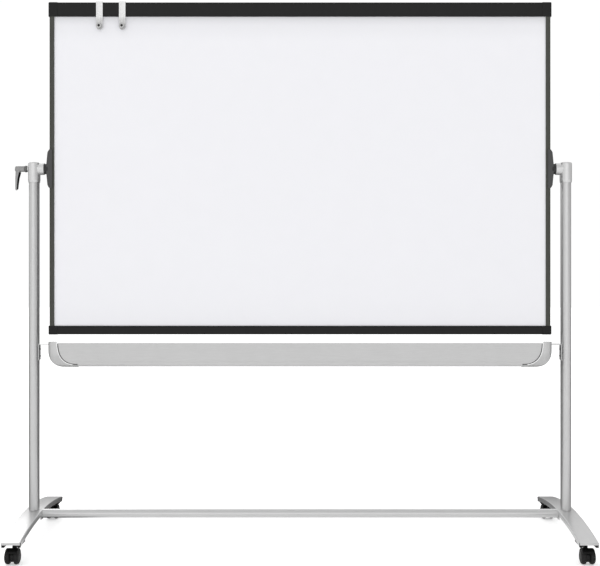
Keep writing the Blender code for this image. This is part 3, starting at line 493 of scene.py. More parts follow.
def bulged(centre, radii, start, end):
    """A quarter of a superellipse, whose corner is fuller than an ellipse's."""

    def fuller(value):
        return math.copysign(abs(value) ** (2 / 2.55), value)

    return [
        (centre[0] + radii[0] * fuller(x), centre[1] + radii[1] * fuller(y))
        for x, y in arc((0, 0), (1, 1), start, end, 40)
    ]


def racetrack(width, depth, centre):
    """A flat oval: two half circles joined by straight sides along its depth."""
    radius, straight = width / 2, (depth - width) / 2
    far = arc((centre[0], centre[1] + straight), (radius, radius), 0, 180, 20)
    near = arc((centre[0], centre[1] - straight), (radius, radius), 180, 360, 20)
    return far + near


def rounded(points, radii, steps):
    """A closed outline with each corner cut by a curve, where its radius isn't 0."""
    result = []
    for i, point in enumerate(points):
        before, here, after = Vector(points[i - 1]), Vector(point), Vector(points[(i + 1) % len(points)])
        if not radii[i]:
            result.append(tuple(here))
            continue
        start = here + (before - here).normalized() * radii[i]
        end = here + (after - here).normalized() * radii[i]
        for step in range(steps + 1):
            t = step / steps
            result.append(tuple(start * (1 - t) ** 2 + here * 2 * t * (1 - t) + end * t**2))
    return result


def trough(half_depth, bottom, top, radius, rear_drop=0.0):
    """A U's filled outline in (Y, Z), with its lower corners rounded and its rear end lower."""
    left = arc((-half_depth + radius, bottom + radius), (radius, radius), 180, 270, 16)
    right = arc((half_depth - radius, bottom + radius), (radius, radius), 270, 360, 16)
    return [(-half_depth, top)] + left + right + [(half_depth, top - rear_drop)]


def at(side, u):
    return CENTRE_X + side * u


def sided(side, points):
    return [(at(side, u), other) for u, other in points]


def span(side, start, end):
    """The ends of a stretch between two distances from the middle plane, the lower x first."""
    return sorted((at(side, start), at(side, end)))


def piece(obj, name, paint, body, node=None, angle=35):
    """Names and paints a finished shape, and lets it ride on a body, in place of a CAD node if given."""
    obj.name = name
    obj.data.name = name
    obj.data.materials.clear()
    obj.data.materials.append(PAINTS[paint])
    for polygon in obj.data.polygons:
        polygon.use_smooth = True
    obj.data.set_sharp_from_angle(angle=math.radians(angle))
    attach(obj, body)
    if node:
        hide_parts(node)


def repaint(node, paint):
    """A CAD node that stays as it is, with a finer material."""
    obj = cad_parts[node]
    obj.data.materials.clear()
    obj.data.materials.append(PAINTS[paint])


# --- The board ---

# The rails along X: name, which way is outwards, height, and the board's edge.
LONG_EDGES = (("top", 1, TOP_RAIL_H, BOARD_TOP), ("bottom", -1, BOTTOM_RAIL_H, BOARD_BOTTOM))
SLOT_HALF = SHEET_FACE + 0.0004


def rail_outline(height, outer_radius):
    """(across, inwards) outline of a rail: rounded outside, with a shallow groove and a thin inner lip."""
    half, slot, floor, size = HALF_DEPTH, SLOT_HALF, height - 0.007, 0.0005
    groove = height * 0.30 if height < 0.02 else height - 0.006
    front = [(-half, 0), (-half, groove - size), (-half + size, groove), (-half, groove + size)]
    front.append((-half, height))
    radii = [outer_radius, 0.0002, 0.0002, 0.0002, 0.0007]
    inside = [(-slot, height), (-slot, floor), (slot, floor), (slot, height)]
    rear = [(-y, b) for y, b in reversed(front)]
    return rounded(front + inside + rear, radii + [0.0004, 0, 0, 0.0004] + radii[::-1], 5)


def make_rails():
    for name, up, height, edge in LONG_EDGES:
        outline = [(y, edge - up * b) for y, b in rail_outline(height, 0.0024)]
        rail = prism([outline], "X", at(-1, RAIL_END), at(1, RAIL_END))
        piece(rail, name + "_rail_extrusion", "black_rail", "board", name + "_rail", 25)
    for name, side in SIDES.items():
        outline = [(at(side, HALF_W - b), y) for y, b in rail_outline(SIDE_RAIL_W, 0.0022)]
        rail = prism([outline], "Z", GLASS_BOTTOM + GAP, GLASS_TOP - GAP)
        piece(rail, name + "_side_extrusion", "grey_rail", "board", name + "_side_rail", 25)


def make_corners():
    start, pocket = RAIL_END + GAP, 0.008
    for up_name, up, height, edge in LONG_EDGES:
        outer, inner = edge + up * (CORNER_TOP - BOARD_TOP), edge - up * height
        points = [(start, outer), (CORNER_END, outer), (CORNER_END, inner), (start, inner)]
        for name, side in SIDES.items():
            outline = rounded(points, [0.0003, 0.0042, 0.0006, 0.0003], 8)
            cap = eased(prism([sided(side, outline)], "Y", -CORNER_DEPTH, CORNER_DEPTH), 0.0010, 3)
            panel = box(
                (at(side, RAIL_END - PAST), -SLOT_HALF, inner - up * PAST),
                (at(side, HALF_W - SIDE_RAIL_W + pocket), SLOT_HALF, inner + up * pocket),
            )
            node = "%s_%s_corner" % (up_name, name)
            piece(cut(cap, panel), node + "_cap", "black_corner", "board", node)


def make_bracket(name, side):
    """A boat-shaped shell clipped over the side rail, with a round hub."""
    shoulder, shoulder_h, thick, floor = 0.0064, 0.0612, 0.0104, 0.0035
    through = (0, 0, PIVOT_Z)
    upper = [
        (thick, HUB_RADIUS), (shoulder, shoulder_h), (0.0, BRACKET_HALF_H), (-BRACKET_LAP, BRACKET_HALF_H)
    ]
    points = [(HALF_W + b, PIVOT_Z + z) for b, z in upper + [(b, -z) for b, z in reversed(upper)]]
    outline = rounded(points, [0.004, 0.005, 0.002, 0.002, 0.002, 0.002, 0.005, 0.004], 6)
    shell = eased(prism([sided(side, outline)], "Y", -BRACKET_DEPTH, BRACKET_DEPTH), 0.0016, 3)
    rail = box(
        (at(side, HALF_W - BRACKET_LAP - PAST), -HALF_DEPTH - GAP, PIVOT_Z - 2 * BRACKET_HALF_H),
        (at(side, HALF_W + GAP), HALF_DEPTH + GAP, PIVOT_Z + 2 * BRACKET_HALF_H),
    )
    bore = rod(SHAFT_BORE, "X", at(side, HALF_W + floor), at(side, HUB_END + PAST), through)
    node = name + "_pivot_bracket"
    piece(cut(shell, rail, bore), node + "_shell", "dark_plastic", "board", node)
    root = HALF_W + thick - 0.004
    places = [
        (root, SHAFT_BORE),
        (root, HUB_RADIUS + 0.0016),
        (root + 0.0045, HUB_RADIUS + 0.0012),
        (root + 0.0056, HUB_RADIUS),
        (HUB_END - 0.0016, HUB_RADIUS - 0.0002),
        (HUB_END - 0.0005, HUB_RADIUS - 0.0007),
        (HUB_END, HUB_RADIUS - 0.0018),
        (HUB_END, SHAFT_BORE),
    ]
    hub = turned(sided(side, places), "X", through, 72)
    piece(hub, name + "_pivot_hub", "hub_plastic", "board", angle=40)


def make_board():
    make_rails()
    make_corners()
    for name, side in SIDES.items():
        make_bracket(name, side)
        repaint(name + "_pivot_shaft", "steel")
    repaint("front_writing_sheet", "writing_face")
    repaint("rear_writing_sheet", "writing_face")
    repaint("honeycomb_core", "core")


# --- Posts and heads ---


def post_outline(side, grow):
    """The post's oval from above, wider and deeper by grow."""
    return racetrack(POST_W + grow, POST_DEPTH + grow, (at(side, POST_U), 0))


def make_post(name, side):
    loops = [post_outline(side, 0), post_outline(side, -2 * POST_WALL)]
    post = prism(loops, "Z", FOOT_TOP + GAP, POST_TOP)
    piece(post, name + "_post_tube", "silver_paint", "stand", name + "_post")


def make_head(name, side):
    """A casting: a sleeve over the post, tapered at both ends, and a barrel towards the board."""
    through, centre = (0, 0, PIVOT_Z), (at(side, POST_U), 0)
    wide, deep = 2 * HEAD_W, HEAD_DEPTH
    levels = [(HEAD_BOTTOM, post_outline(side, 0.0026)), (HEAD_BOTTOM + 0.0015, post_outline(side, 0.0040))]
    levels.append((HEAD_BOTTOM + 0.0085, racetrack(wide, deep, centre)))
    for below_top, less in ((0.0055, 0), (0.0025, 0.0020), (0.0006, 0.0060), (0, 0.0110)):
        levels.append((HEAD_TOP - below_top, racetrack(wide - less, deep - less, centre)))
    sleeve = lofted([[(x, y, z) for x, y in outline] for z, outline in levels])
    places = [
        (POST_U, 0),
        (POST_U, BARREL_RADIUS),
        (BARREL_END + 0.0020, BARREL_RADIUS),
        (BARREL_END + 0.0006, BARREL_RADIUS - 0.0006),
        (BARREL_END, BARREL_RADIUS - 0.0020),
        (BARREL_END, 0),
    ]
    head = cast(joined(sleeve, turned(sided(side, places), "X", through, 72)), 0.0007, 9)
    socket = prism([post_outline(side, 2 * GAP)], "Z", HEAD_BOTTOM - PAST, POST_TOP + GAP)
    bore = rod(BUSH_RADIUS, "X", at(side, BARREL_END - PAST), at(side, BUSH_END), through, 32)
    cutters = [socket, bore]
    if side < 0:
        cutters.append(rod(SCREW_BORE, "X", at(side, POST_U), at(side, POST_U + 2 * HEAD_W), through, 24))
    piece(cut(head, *cutters), name + "_head_casting", "silver_casting", "stand", name + "_head", 45)
    repaint(name + "_bush", "bush")


# --- Feet and crossbar ---


def foot_arc(y, drop=0.0):
    """The height of the foot's arched top at y, or of an arc that lies drop below it."""
    radius = FOOT_RADIUS - drop
    return FOOT_TOP - FOOT_RADIUS + math.sqrt(radius**2 - y**2)


def foot_arc_points(start, end, drop, steps):
    ys = [start + (end - start) * i / steps for i in range(steps + 1)]
    return [(y, foot_arc(y, drop)) for y in ys]


def foot_form(low, high, corner):
    """The foot's arched block, with rounded long top edges."""
    rings = []
    for y, top in foot_arc_points(-FOOT_HALF_LENGTH, FOOT_HALF_LENGTH, 0, 64):
        bottom = foot_arc(y, FOOT_DEPTH + PAST)
        points = [(low, bottom), (low, top), (high, top), (high, bottom)]
        rings.append([(x, y, z) for x, z in rounded(points, [0, corner, corner, 0], 6)])
    return lofted(rings)


def foot_side_view():
    """The foot's outline in (Y, Z): bent-down ends, and flanges that stop short of them."""
    far, flange, bend, top = FOOT_HALF_LENGTH, FOOT_FLANGE_HALF, 0.006, FOOT_TOP + PAST
    behind, lip = far - FOOT_LIP_T, foot_arc(far) - FOOT_LIP
    nose = [(far - bend, foot_arc(far - bend)), (far, foot_arc(far)), (far, lip), (behind, lip)]
    nose.append((behind, foot_arc(behind, FOOT_PLATE)))
    nose = rounded(nose, [0, 0.0028, 0.0008, 0.0008, 0.001], 5) + [(flange, foot_arc(flange, FOOT_PLATE))]
    below = foot_arc_points(flange, -flange, FOOT_DEPTH, 48)
    return [(-far + bend, top), (far - bend, top)] + nose + below + [(-y, z) for y, z in reversed(nose)]


def foot_hollow():
    """The outline in (Y, Z) of the room under the plate, between the flanges and a little past their ends."""
    edge, beyond = FOOT_FLANGE_HALF - 0.00015, FOOT_FLANGE_HALF + 0.0025
    under = foot_arc_points(-edge, edge, FOOT_PLATE, 60)
    sloped = under[-1][1] - (beyond - edge)
    return [(-beyond, PAST), (-beyond, sloped)] + under + [(beyond, sloped), (beyond, PAST)]


def make_foot(name, side):
    """An arched channel, with a welded stub for the crossbar and its backing plate."""
    low, high = at(side, POST_U) - FOOT_HALF_W, at(side, POST_U) + FOOT_HALF_W
    foot = kept_inside(foot_form(low, high, 0.0034), prism([foot_side_view()], "X", low - PAST, high + PAST))
    foot = cut(foot, prism([foot_hollow()], "X", low + FOOT_WALL, high - FOOT_WALL))
    face, stub_radius, weld_radius, stub_end = POST_U - FOOT_HALF_W, 0.0140, 0.0155, 0.880
    places = [
        (face + 0.0012, 0), (face + 0.0012, weld_radius), (face - 0.0002, weld_radius),
        (face - 0.0002, stub_radius), (stub_end, stub_radius), (stub_end, 0),
    ]
    stub = turned(sided(side, places), "X", (0, 0, BAR_Z), 48)
    plate = box(
        (at(side, face + FOOT_WALL - 0.0005), -0.014, BAR_Z - 0.0205),
        (at(side, face + FOOT_WALL + 0.004), 0.014, BAR_Z + 0.005),
    )
    foot = eased(joined(foot, plate, stub), 0.0004)
    piece(foot, name + "_foot_channel", "silver_paint", "stand", name + "_foot", 30)
    for end_name, end in ENDS.items():
        make_plug("%s_%s_foot_plug" % (end_name, name), side, end)


def make_plug(node, side, end):
    """A moulded plug: a block inside the flanges, a full-width end, an arch below and the stem's boss."""
    boss_bottom, x = node_span(node, "z")[0], at(side, POST_U)
    bottom = boss_bottom + 0.004
    within, full, front = FOOT_HALF_W - FOOT_WALL - GAP, FOOT_HALF_W, PLUG_FRONT
    blocks = []
    for inner, outer, half in ((PLUG_INNER, front - 0.0085, within), (front - 0.0095, front, full)):
        top = foot_arc_points(end * inner, end * outer, FOOT_PLATE + GAP, 12)
        outline = top + [(end * outer, bottom), (end * inner, bottom)]
        blocks.append(eased(prism([outline], "X", x - half, x + half), 0.0010, 3))
    arch_half, arch_top, r, low = 0.0225, 0.070, 0.006, bottom - PAST
    right = arc((x + arch_half - r, arch_top - r), (r, r), 0, 90, 12)
    left = arc((x - arch_half + r, arch_top - r), (r, r), 90, 180, 12)
    ends = sorted((end * (PLUG_INNER - PAST), end * (front + PAST)))
    arch = prism([[(x + arch_half, low)] + right + left + [(x - arch_half, low)]], "Y", *ends)
    stem_at = (x, end * STEM_Y, 0)
    foot, radius, root = boss_bottom + GAP, 0.0085, arch_top + 0.006
    places = [(foot, 0), (foot, radius - 0.001), (foot + 0.0012, radius), (root, radius), (root, 0)]
    boss = turned(places, "Z", stem_at, 40)
    socket = rod(STEM_RADIUS + GAP, "Z", bottom - PAST, 0.0792, stem_at, 32)
    plug = cut(joined(cut(joined(*blocks), arch), boss), socket)
    piece(plug, node + "_moulding", "black_plastic", "stand", node)


def make_crossbar():
    outer, inner, end = BAR_RADIUS, BAR_RADIUS - 0.002, BAR_HALF
    ring = [(at(-1, end), outer), (at(1, end), outer), (at(1, end), inner), (at(-1, end), inner)]
    bar = turned(ring, "X", (0, 0, BAR_Z), 96)
    piece(bar, "crossbar_tube", "silver_paint", "stand", "crossbar")


# --- The tray ---


def tray_front(grow):
    """The trough's outline from the front, from one end to the other, larger all round by grow."""
    end, bottom, top = TRAY_BODY_END + grow, TRAY_BOTTOM - grow, CAP_TOP + PAST
    corner = arc(TRAY_CORNER, (end - TRAY_CORNER[0], TRAY_CORNER[1] - bottom), -90, 0, 24)
    right = corner + [(end, top)]
    return sided(1, right) + sided(-1, right[::-1])


def make_trough():
    """From the top down: a rolled lip, the flat face, and a skirt that stands a little proud."""
    half, top, bottom = TRAY_HALF, TRAY_TOP, TRAY_BOTTOM
    wall, corner, skirt, face = 0.0024, 0.014, bottom + 0.017, half - 0.0007
    front = [(-half + wall, top), (-half + 0.0002, top), (-face, top - 0.0035), (-face, skirt + 0.0006)]
    front = rounded(front + [(-half, skirt)], [0, 0.0006, 0, 0, 0], 3)
    front += arc((-half + corner, bottom + corner), (corner, corner), 180, 270, 14)
    rear = [(-y, z - TRAY_REAR_DROP if z > skirt + 0.001 else z) for y, z in reversed(front)]
    inside = trough(half - wall, bottom + TRAY_WALL, top, 0.012, TRAY_REAR_DROP)
    body = prism([front + rear + inside[::-1]], "X", at(-1, CAP_END), at(1, CAP_END))
    body = kept_inside(body, prism([tray_front(0)], "Y", -half - PAST, half + PAST))
    piece(body, "tray_extrusion", "tray_aluminium", "stand", "tray_body", 20)


def scoop(side, shrink, start, top):
    """The cap's outer form, smaller all round by shrink."""
    out, bottom, half, r = CAP_END - shrink, CAP_BOTTOM + shrink, CAP_HALF - shrink, 0.030 - shrink
    curve = arc(TRAY_CORNER, (out - TRAY_CORNER[0], TRAY_CORNER[1] - bottom), 0, -90, 32)
    front = [(start, top + PAST), (out, top + PAST)] + curve + [(start, bottom)]
    plan = [(start - PAST, -half)]
    plan += arc((out - r, -half + r), (r, r), -90, 0, 20) + arc((out - r, half - r), (r, r), 0, 90, 20)
    plan += [(start - PAST, half)]
    form = prism([sided(side, front)], "Y", -half - PAST, half + PAST)
    seen_from_above = prism([sided(side, plan)], "Z", bottom - PAST, top + PAST)
    section = trough(half, bottom, top, 0.0155 - shrink, CAP_REAR_DROP)
    ends = span(side, start - 2 * PAST, out + 2 * PAST)
    return kept_inside(form, seen_from_above, prism([section], "X", *ends))


def lap_edge(inset_end, inset_bottom, start, end):
    """The cap's curved edge over the trough's face, or a curve that much inside it."""
    centre = (CAP_START, CAP_TOP)
    radii = (LAP_END - inset_end - centre[0], centre[1] - LAP_BOTTOM - inset_bottom)
    return bulged(centre, radii, start, end)


def make_cap(name, side):
    """A scoop-shaped cap, open where the trough, its face and the bracket's plate are."""
    before, above, out, half = CAP_START - PAST, CAP_TOP + PAST, CAP_END + PAST, TRAY_HALF + PAST
    cap = cast(scoop(side, 0, CAP_START - 0.012, CAP_TOP + 0.012), 0.0013, 40)
    rim = [(-CAP_HALF, CAP_TOP), (CAP_HALF, CAP_TOP - CAP_REAR_DROP)]
    rim += [(CAP_HALF + PAST, 0.5), (-CAP_HALF - PAST, 0.5)]
    cap = kept_inside(cap, prism([rim], "X", *span(side, CAP_START, out)))
    hollow = scoop(side, 0.0025, before, above)
    inside = trough(TRAY_HALF + GAP, TRAY_BOTTOM - GAP, above, 0.014 + GAP)
    room = prism([inside], "X", at(side, before), at(side, CAP_END))
    room = kept_inside(room, prism([tray_front(GAP)], "Y", -half, half))
    edge = lap_edge(0, 0, -90, 0)
    opening = [(before, LAP_BOTTOM)] + edge + [(LAP_END, above), (before, above)]
    lap = prism([sided(side, opening)], "Y", -half, half)
    plate = node_span(name + "_tray_bracket", "z")[1]
    slot = box((at(side, CAP_END - PAST), -0.0146, plate - 0.0031), (at(side, out), 0.0146, plate + 0.0006))
    cap = cut(cap, hollow, room, lap, slot)
    piece(cap, name + "_tray_cap_moulding", "grey_plastic", "stand", name + "_tray_cap", 40)
    # Painted shadow: a dark band laid on the trough's face along the cap's curved edge, and the edge's raised
    # bead, coloured light as a painted highlight.
    outline = lap_edge(0.0042, 0.0036, 0, -90) + lap_edge(0.0003, 0.0003, -90, 0)
    face = -TRAY_HALF + 0.0006
    band = prism([sided(side, outline)], "Y", face - 0.0009, face)
    face_only = box((at(side, CAP_START), -0.1, 0.5), (at(side, CAP_END), 0.1, TRAY_TOP - 0.0035))
    band = kept_inside(band, face_only)
    piece(eased(band, 0.0002), name + "_tray_lap_painted_shadow", "lap", "stand")
    # The bead is coloured light as a painted highlight.
    bead = curve_tube([(at(side, u), -CAP_HALF + 0.0006, z) for u, z in edge[4:]], 0.0015)
    piece(bead, name + "_tray_cap_bead", "bead", "stand", angle=60)


def make_tray_bracket(name, side):
    """A bent plate: up the post, over to the cap, and down a little inside it. Two screws hold it."""
    plate, tip, drop = 0.0025, 0.897, 0.0103
    back = POST_U - POST_W / 2 - GAP
    low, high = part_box(name + "_tray_bracket")
    top, foot = high.z, low.z
    outline = [
        (back, foot), (back, top), (tip, top), (tip, top - drop),
        (tip + plate, top - drop), (tip + plate, top - plate),
        (back - plate, top - plate), (back - plate, foot),
    ]
    outline = rounded(outline, [0.0003, 0.0030, 0.0020, 0.0003, 0.0003, 0.0005, 0.0008, 0.0003], 4)
    angle = prism([sided(side, outline)], "Y", low.y, high.y)
    holes = [rod(0.0025, "X", at(side, back - PAST), at(side, back + PAST), (0, 0, z), 24) for z in SCREWS_Z]
    angle = eased(cut(angle, *holes), 0.0003)
    piece(angle, name + "_tray_angle", "silver_paint", "stand", name + "_tray_bracket")
    for place, z in zip(("upper", "lower"), SCREWS_Z):
        make_screw("%s_%s_tray_screw" % (name, place), at(side, back - plate - GAP), -side, z)


def make_screw(node, seat, out, z):
    """A pan-head screw along X, with a cross recess in its domed head. out is the way its head looks."""
    radius, height, shank, length = 0.0042, 0.0034, 0.0021, 0.010
    tip = seat + out * height
    places = [(tip, 0), (tip, radius * 0.3)]
    for i in range(1, 7):
        a = math.radians(90 - 15 * i)
        rise, spread = 0.35 + 0.65 * math.sin(a), 0.25 + 0.75 * math.cos(a)
        places.append((seat + out * height * rise, radius * spread))
    places += [(seat, radius), (seat, shank), (seat - out * length, shank), (seat - out * length, 0)]
    screw = turned(places, "X", (0, 0, z), 32)
    for across in (1, 2):
        size = Vector((height * 0.5, radius * 0.55, radius * 0.55))
        size[across] = 0.0005
        screw = cut(screw, box(Vector((tip, 0, z)) - size, Vector((tip, 0, z)) + size))
    piece(screw, node + "_head", "dark_steel", "stand", node)


def make_stand():
    for name, side in SIDES.items():
        make_post(name, side)
        make_head(name, side)
    for name, side in SIDES.items():
        make_foot(name, side)
    make_crossbar()
    make_trough()
    for name, side in SIDES.items():
        make_cap(name, side)
        make_tray_bracket(name, side)


# --- Casters ---


def make_caster(side_name, side, end_name, end):
    """A hood open below and in front, a web between its two wheels, the neck, the stem and the axle."""
    place = "%s_%s" % (end_name, side_name)
    body_name = place + "_caster"
    x, top = at(side, POST_U), CASTER_TOP
    centre, stem_at = (x, end * AXLE_Y, WHEEL_RADIUS), (x, end * STEM_Y, 0)
    half, radius, room_radius = 0.0215, 0.0285, 0.0262
    edge = [(half, 0), (half, radius - 0.0014), (half - 0.0012, radius - 0.0003), (half - 0.0035, radius)]
    hood = turned([(x - b, r) for b, r in edge] + [(x + b, r) for b, r in reversed(edge)], "X", centre, 96)
    keep = box((x - 0.06, -0.06, 0.003), (x + 0.06, 0.06, 0.06))
    tilt = Matrix.Rotation(end * math.radians(30), 4, "X")
    keep.data.transform(Matrix.Translation((0, centre[1], centre[2])) @ tilt)
    hood = kept_inside(hood, keep)
    web = rod(0.0175, "X", x - 0.0059, x + 0.0059, centre, 64)
    neck_radius = 0.008
    profile = [(0.037, 0), (0.037, neck_radius), (top - 0.001, neck_radius)]
    profile += [(top, neck_radius - 0.001), (top, 0)]
    body = joined(hood, web, turned(profile, "Z", stem_at, 48))
    rooms = [rod(room_radius, "X", x + way * 0.0062, x + way * 0.04, centre, 96) for way in (-1, 1)]
    body = eased(cut(body, *rooms), 0.0005)
    axle = rod(0.004, "X", x - 0.0245, x + 0.0245, centre, 32)
    stem = rod(STEM_RADIUS, "Z", top - 0.003, STEM_TOP, stem_at, 32)
    piece(joined(body, axle, stem), body_name + "_hood", "black_plastic", body_name, body_name + "_body")
    for way_name, way in (("inner", -side), ("outer", side)):
        make_wheel("%s_%s_wheel" % (place, way_name), x, way, centre)


def make_wheel(node, x, way, centre):
    """A wheel with a rounded tread, and a face that dishes in to a hub disc."""
    r, bore, inner, outer = WHEEL_RADIUS, 0.0043, 0.0065, 0.0250
    tread = [
        (inner, r - 0.0050), (inner + 0.0006, r - 0.0030), (inner + 0.0022, r - 0.0011),
        (inner + 0.0050, r - 0.0002), (inner + 0.0085, r),
        (outer - 0.0085, r - 0.0002), (outer - 0.0050, r - 0.0012), (outer - 0.0026, r - 0.0032),
        (outer - 0.0010, r - 0.0062), (outer - 0.0002, r - 0.0085),
    ]
    face = [
        (outer - 0.0004, 0.0142), (outer - 0.0016, 0.0136), (outer - 0.0016, 0.0126),
        (outer - 0.0006, 0.0120), (outer - 0.0003, 0.0090), (outer - 0.0003, 0.0056),
        (outer - 0.0012, 0.0050), (outer - 0.0012, bore),
    ]
    profile = [(inner, bore)] + tread + face
    wheel = turned([(x + way * b, radius) for b, radius in profile], "X", centre, 96)
    piece(wheel, node + "_tread", "tyre", node, node, 28)


# --- Clamp, on the left ---

CLAMP_SIDE = -1
CLAMP_THROUGH = (0, 0, PIVOT_Z)
SCREW_END = 1.030
LEVER_START, LEVER_STOP = 1.0078, 1.0430
# The lever's arm: below the pivot by, outer and inner edge (as u), half the thickness.
ARM = [
    (0.0, 1.0418, 1.0228, 0.0075), (0.012, 1.0420, 1.0228, 0.0070), (0.035, 1.0430, 1.0285, 0.0058),
    (0.055, 1.0430, 1.0312, 0.0053), (0.073, 1.0430, 1.0330, 0.0050), (0.0765, 1.0417, 1.0345, 0.0036),
    (0.078, 1.0396, 1.0366, 0.0015),
]


def make_clamp_screw():
    tip, low, high, radius = 0.962, 0.9985, 1.0075, 0.012
    places = [
        (tip, 0), (tip, 0.004), (low, 0.004), (low, radius - 0.0012), (low + 0.0012, radius),
        (high - 0.0012, radius), (high, radius - 0.0012), (high, 0.006), (SCREW_END, 0.006), (SCREW_END, 0),
    ]
    screw = turned(sided(CLAMP_SIDE, places), "X", CLAMP_THROUGH, 64)
    piece(screw, "clamp_screw_collar", "collar", "clamp_screw", "clamp_screw")


def arm_filling(sections, first, last):
    """A four-sided solid down the arm, from first to last. A section is like one of ARM's."""
    rings = []
    for drop, outer, inner, half in sections:
        low, high, z = at(CLAMP_SIDE, outer), at(CLAMP_SIDE, inner), PIVOT_Z - min(max(drop, first), last)
        rings.append([(low, -half, z), (high, -half, z), (high, half, z), (low, half, z)])
    return lofted(rings)


def make_clamp_lever():
    """A hub and an arm, which is hollow and open along its inner side, with a near-black filling in that open
    side as painted shade.
    """
    start, stop, radius = LEVER_START, LEVER_STOP, 0.0106
    places = [
        (start, 0), (start, radius - 0.001), (start + 0.001, radius), (stop - 0.0035, radius),
        (stop - 0.001, 0.0091), (stop, 0.0066), (stop, 0),
    ]
    hub = turned(sided(CLAMP_SIDE, places), "X", CLAMP_THROUGH, 64)
    rings = []
    for drop, outer, inner, thick in ARM:
        middle_x = at(CLAMP_SIDE, (outer + inner) / 2)
        oval = arc((middle_x, 0), ((outer - inner) / 2, thick), 0, 360, 32)[:-1]
        rings.append([(x, y, PIVOT_Z - drop) for x, y in oval])
    lever = cast(joined(hub, lofted(rings)), 0.0006, 6)
    room = rod(
        0.0063, "X", at(CLAMP_SIDE, start - PAST), at(CLAMP_SIDE, SCREW_END + 0.002), CLAMP_THROUGH, 40
    )
    hollow, painted_shade_filling = [], []
    for drop, outer, inner, thick in ARM[1:-1]:
        hollow.append((drop, outer - 0.0035, inner - 0.004, thick - min(0.0014, thick * 0.4)))
        painted_shade_filling.append((drop, inner + 0.0052, inner - 0.0002, thick * 0.94))
    hollow, painted_shade_filling = arm_filling(hollow, 0.0125, 0.0745), arm_filling(painted_shade_filling, 0.0115, 0.0744)
    piece(cut(lever, room, hollow), "clamp_lever_casting", "lever", "clamp_lever", "clamp_lever", 50)
    # Painted shade: the near-black filling stands for the shade inside the arm's hollow.
    piece(eased(painted_shade_filling, 0.0003), "clamp_lever_painted_shade", "channel", "clamp_lever")


# --- Hooks ---

HOOK_CHANNEL = 0.0007


def make_strap(body):
    """A strap bent over the top rail, with a round lower end and a raised rib along each edge."""
    low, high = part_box(body + "_strap")
    x, half = (low.x + high.x) / 2, (high.x - low.x) / 2
    top, bottom, outer = high.z, low.z, high.y
    inner, ceiling, back_bottom, r = HALF_DEPTH + GAP, BOARD_TOP + GAP, 1.928, 0.0022
    section = [(-inner, bottom), (-inner, ceiling), (inner, ceiling), (inner, back_bottom)]
    section += [(outer, back_bottom)]
    section += arc((outer - r, top - r), (r, r), 0, 90, 6) + arc((-outer + r, top - r), (r, r), 90, 180, 6)
    section += [(-outer, bottom)]
    strap = prism([section], "X", x - half, x + half)
    outline = arc((x, bottom + half), (half, half), 180, 360, 40)
    outline += [(x + half, top + PAST), (x - half, top + PAST)]
    strap = eased(kept_inside(strap, prism([outline], "Y", -outer - PAST, outer + PAST)), 0.0006, 3)
    rib = 0.0045
    channel = arc((x, bottom + half), (half - rib, half - rib), 180, 360, 32)
    channel += [(x + half - rib, top - 0.006), (x - half + rib, top - 0.006)]
    strap = cut(strap, prism([channel], "Y", -outer - PAST, -outer + HOOK_CHANNEL))
    piece(eased(strap, 0.0003, 2, 60), body + "_plate", "hook", body, body + "_strap")
    return x, -outer + HOOK_CHANNEL - GAP


def make_knob(body, x, face):
    """A round button on a peg from the strap's face, with a dark disc filling the hole at its tip as painted
    shade.
    """
    low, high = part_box(body + "_knob")
    through, tip = (x, 0, (low.z + high.z) / 2), low.y
    deep = face - tip
    profile = [(face, 0), (face, 0.0068), (face - 0.0006, 0.0072), (face - 0.0016, 0.0060)]
    for share, radius in (
        (0.70, 0.0060), (0.78, 0.0086), (0.84, 0.0100), (0.92, 0.0103), (0.98, 0.0097), (1.0, 0.0086)
    ):
        profile.append((face - deep * share, radius))
    profile += [(tip, 0.0050), (tip + 0.0006, 0.0044), (tip + 0.0045, 0.0041), (tip + 0.0045, 0)]
    piece(turned(profile, "Y", through, 64), body + "_button", "knob", body, body + "_knob", 40)
    # Painted shade: a dark disc set in the knob's tip hole.
    back, front, radius = tip + 0.0044, tip + 0.0008, 0.0040
    profile = [(back, 0), (back, radius), (front + 0.0006, radius), (front, radius - 0.0006), (front, 0)]
    piece(turned(profile, "Y", through, 40), body + "_hole_painted_shade", "channel", body)


def make_hook(name):
    body = name + "_hook"
    x, face = make_strap(body)
    make_knob(body, x, face)


# --- Stage ---


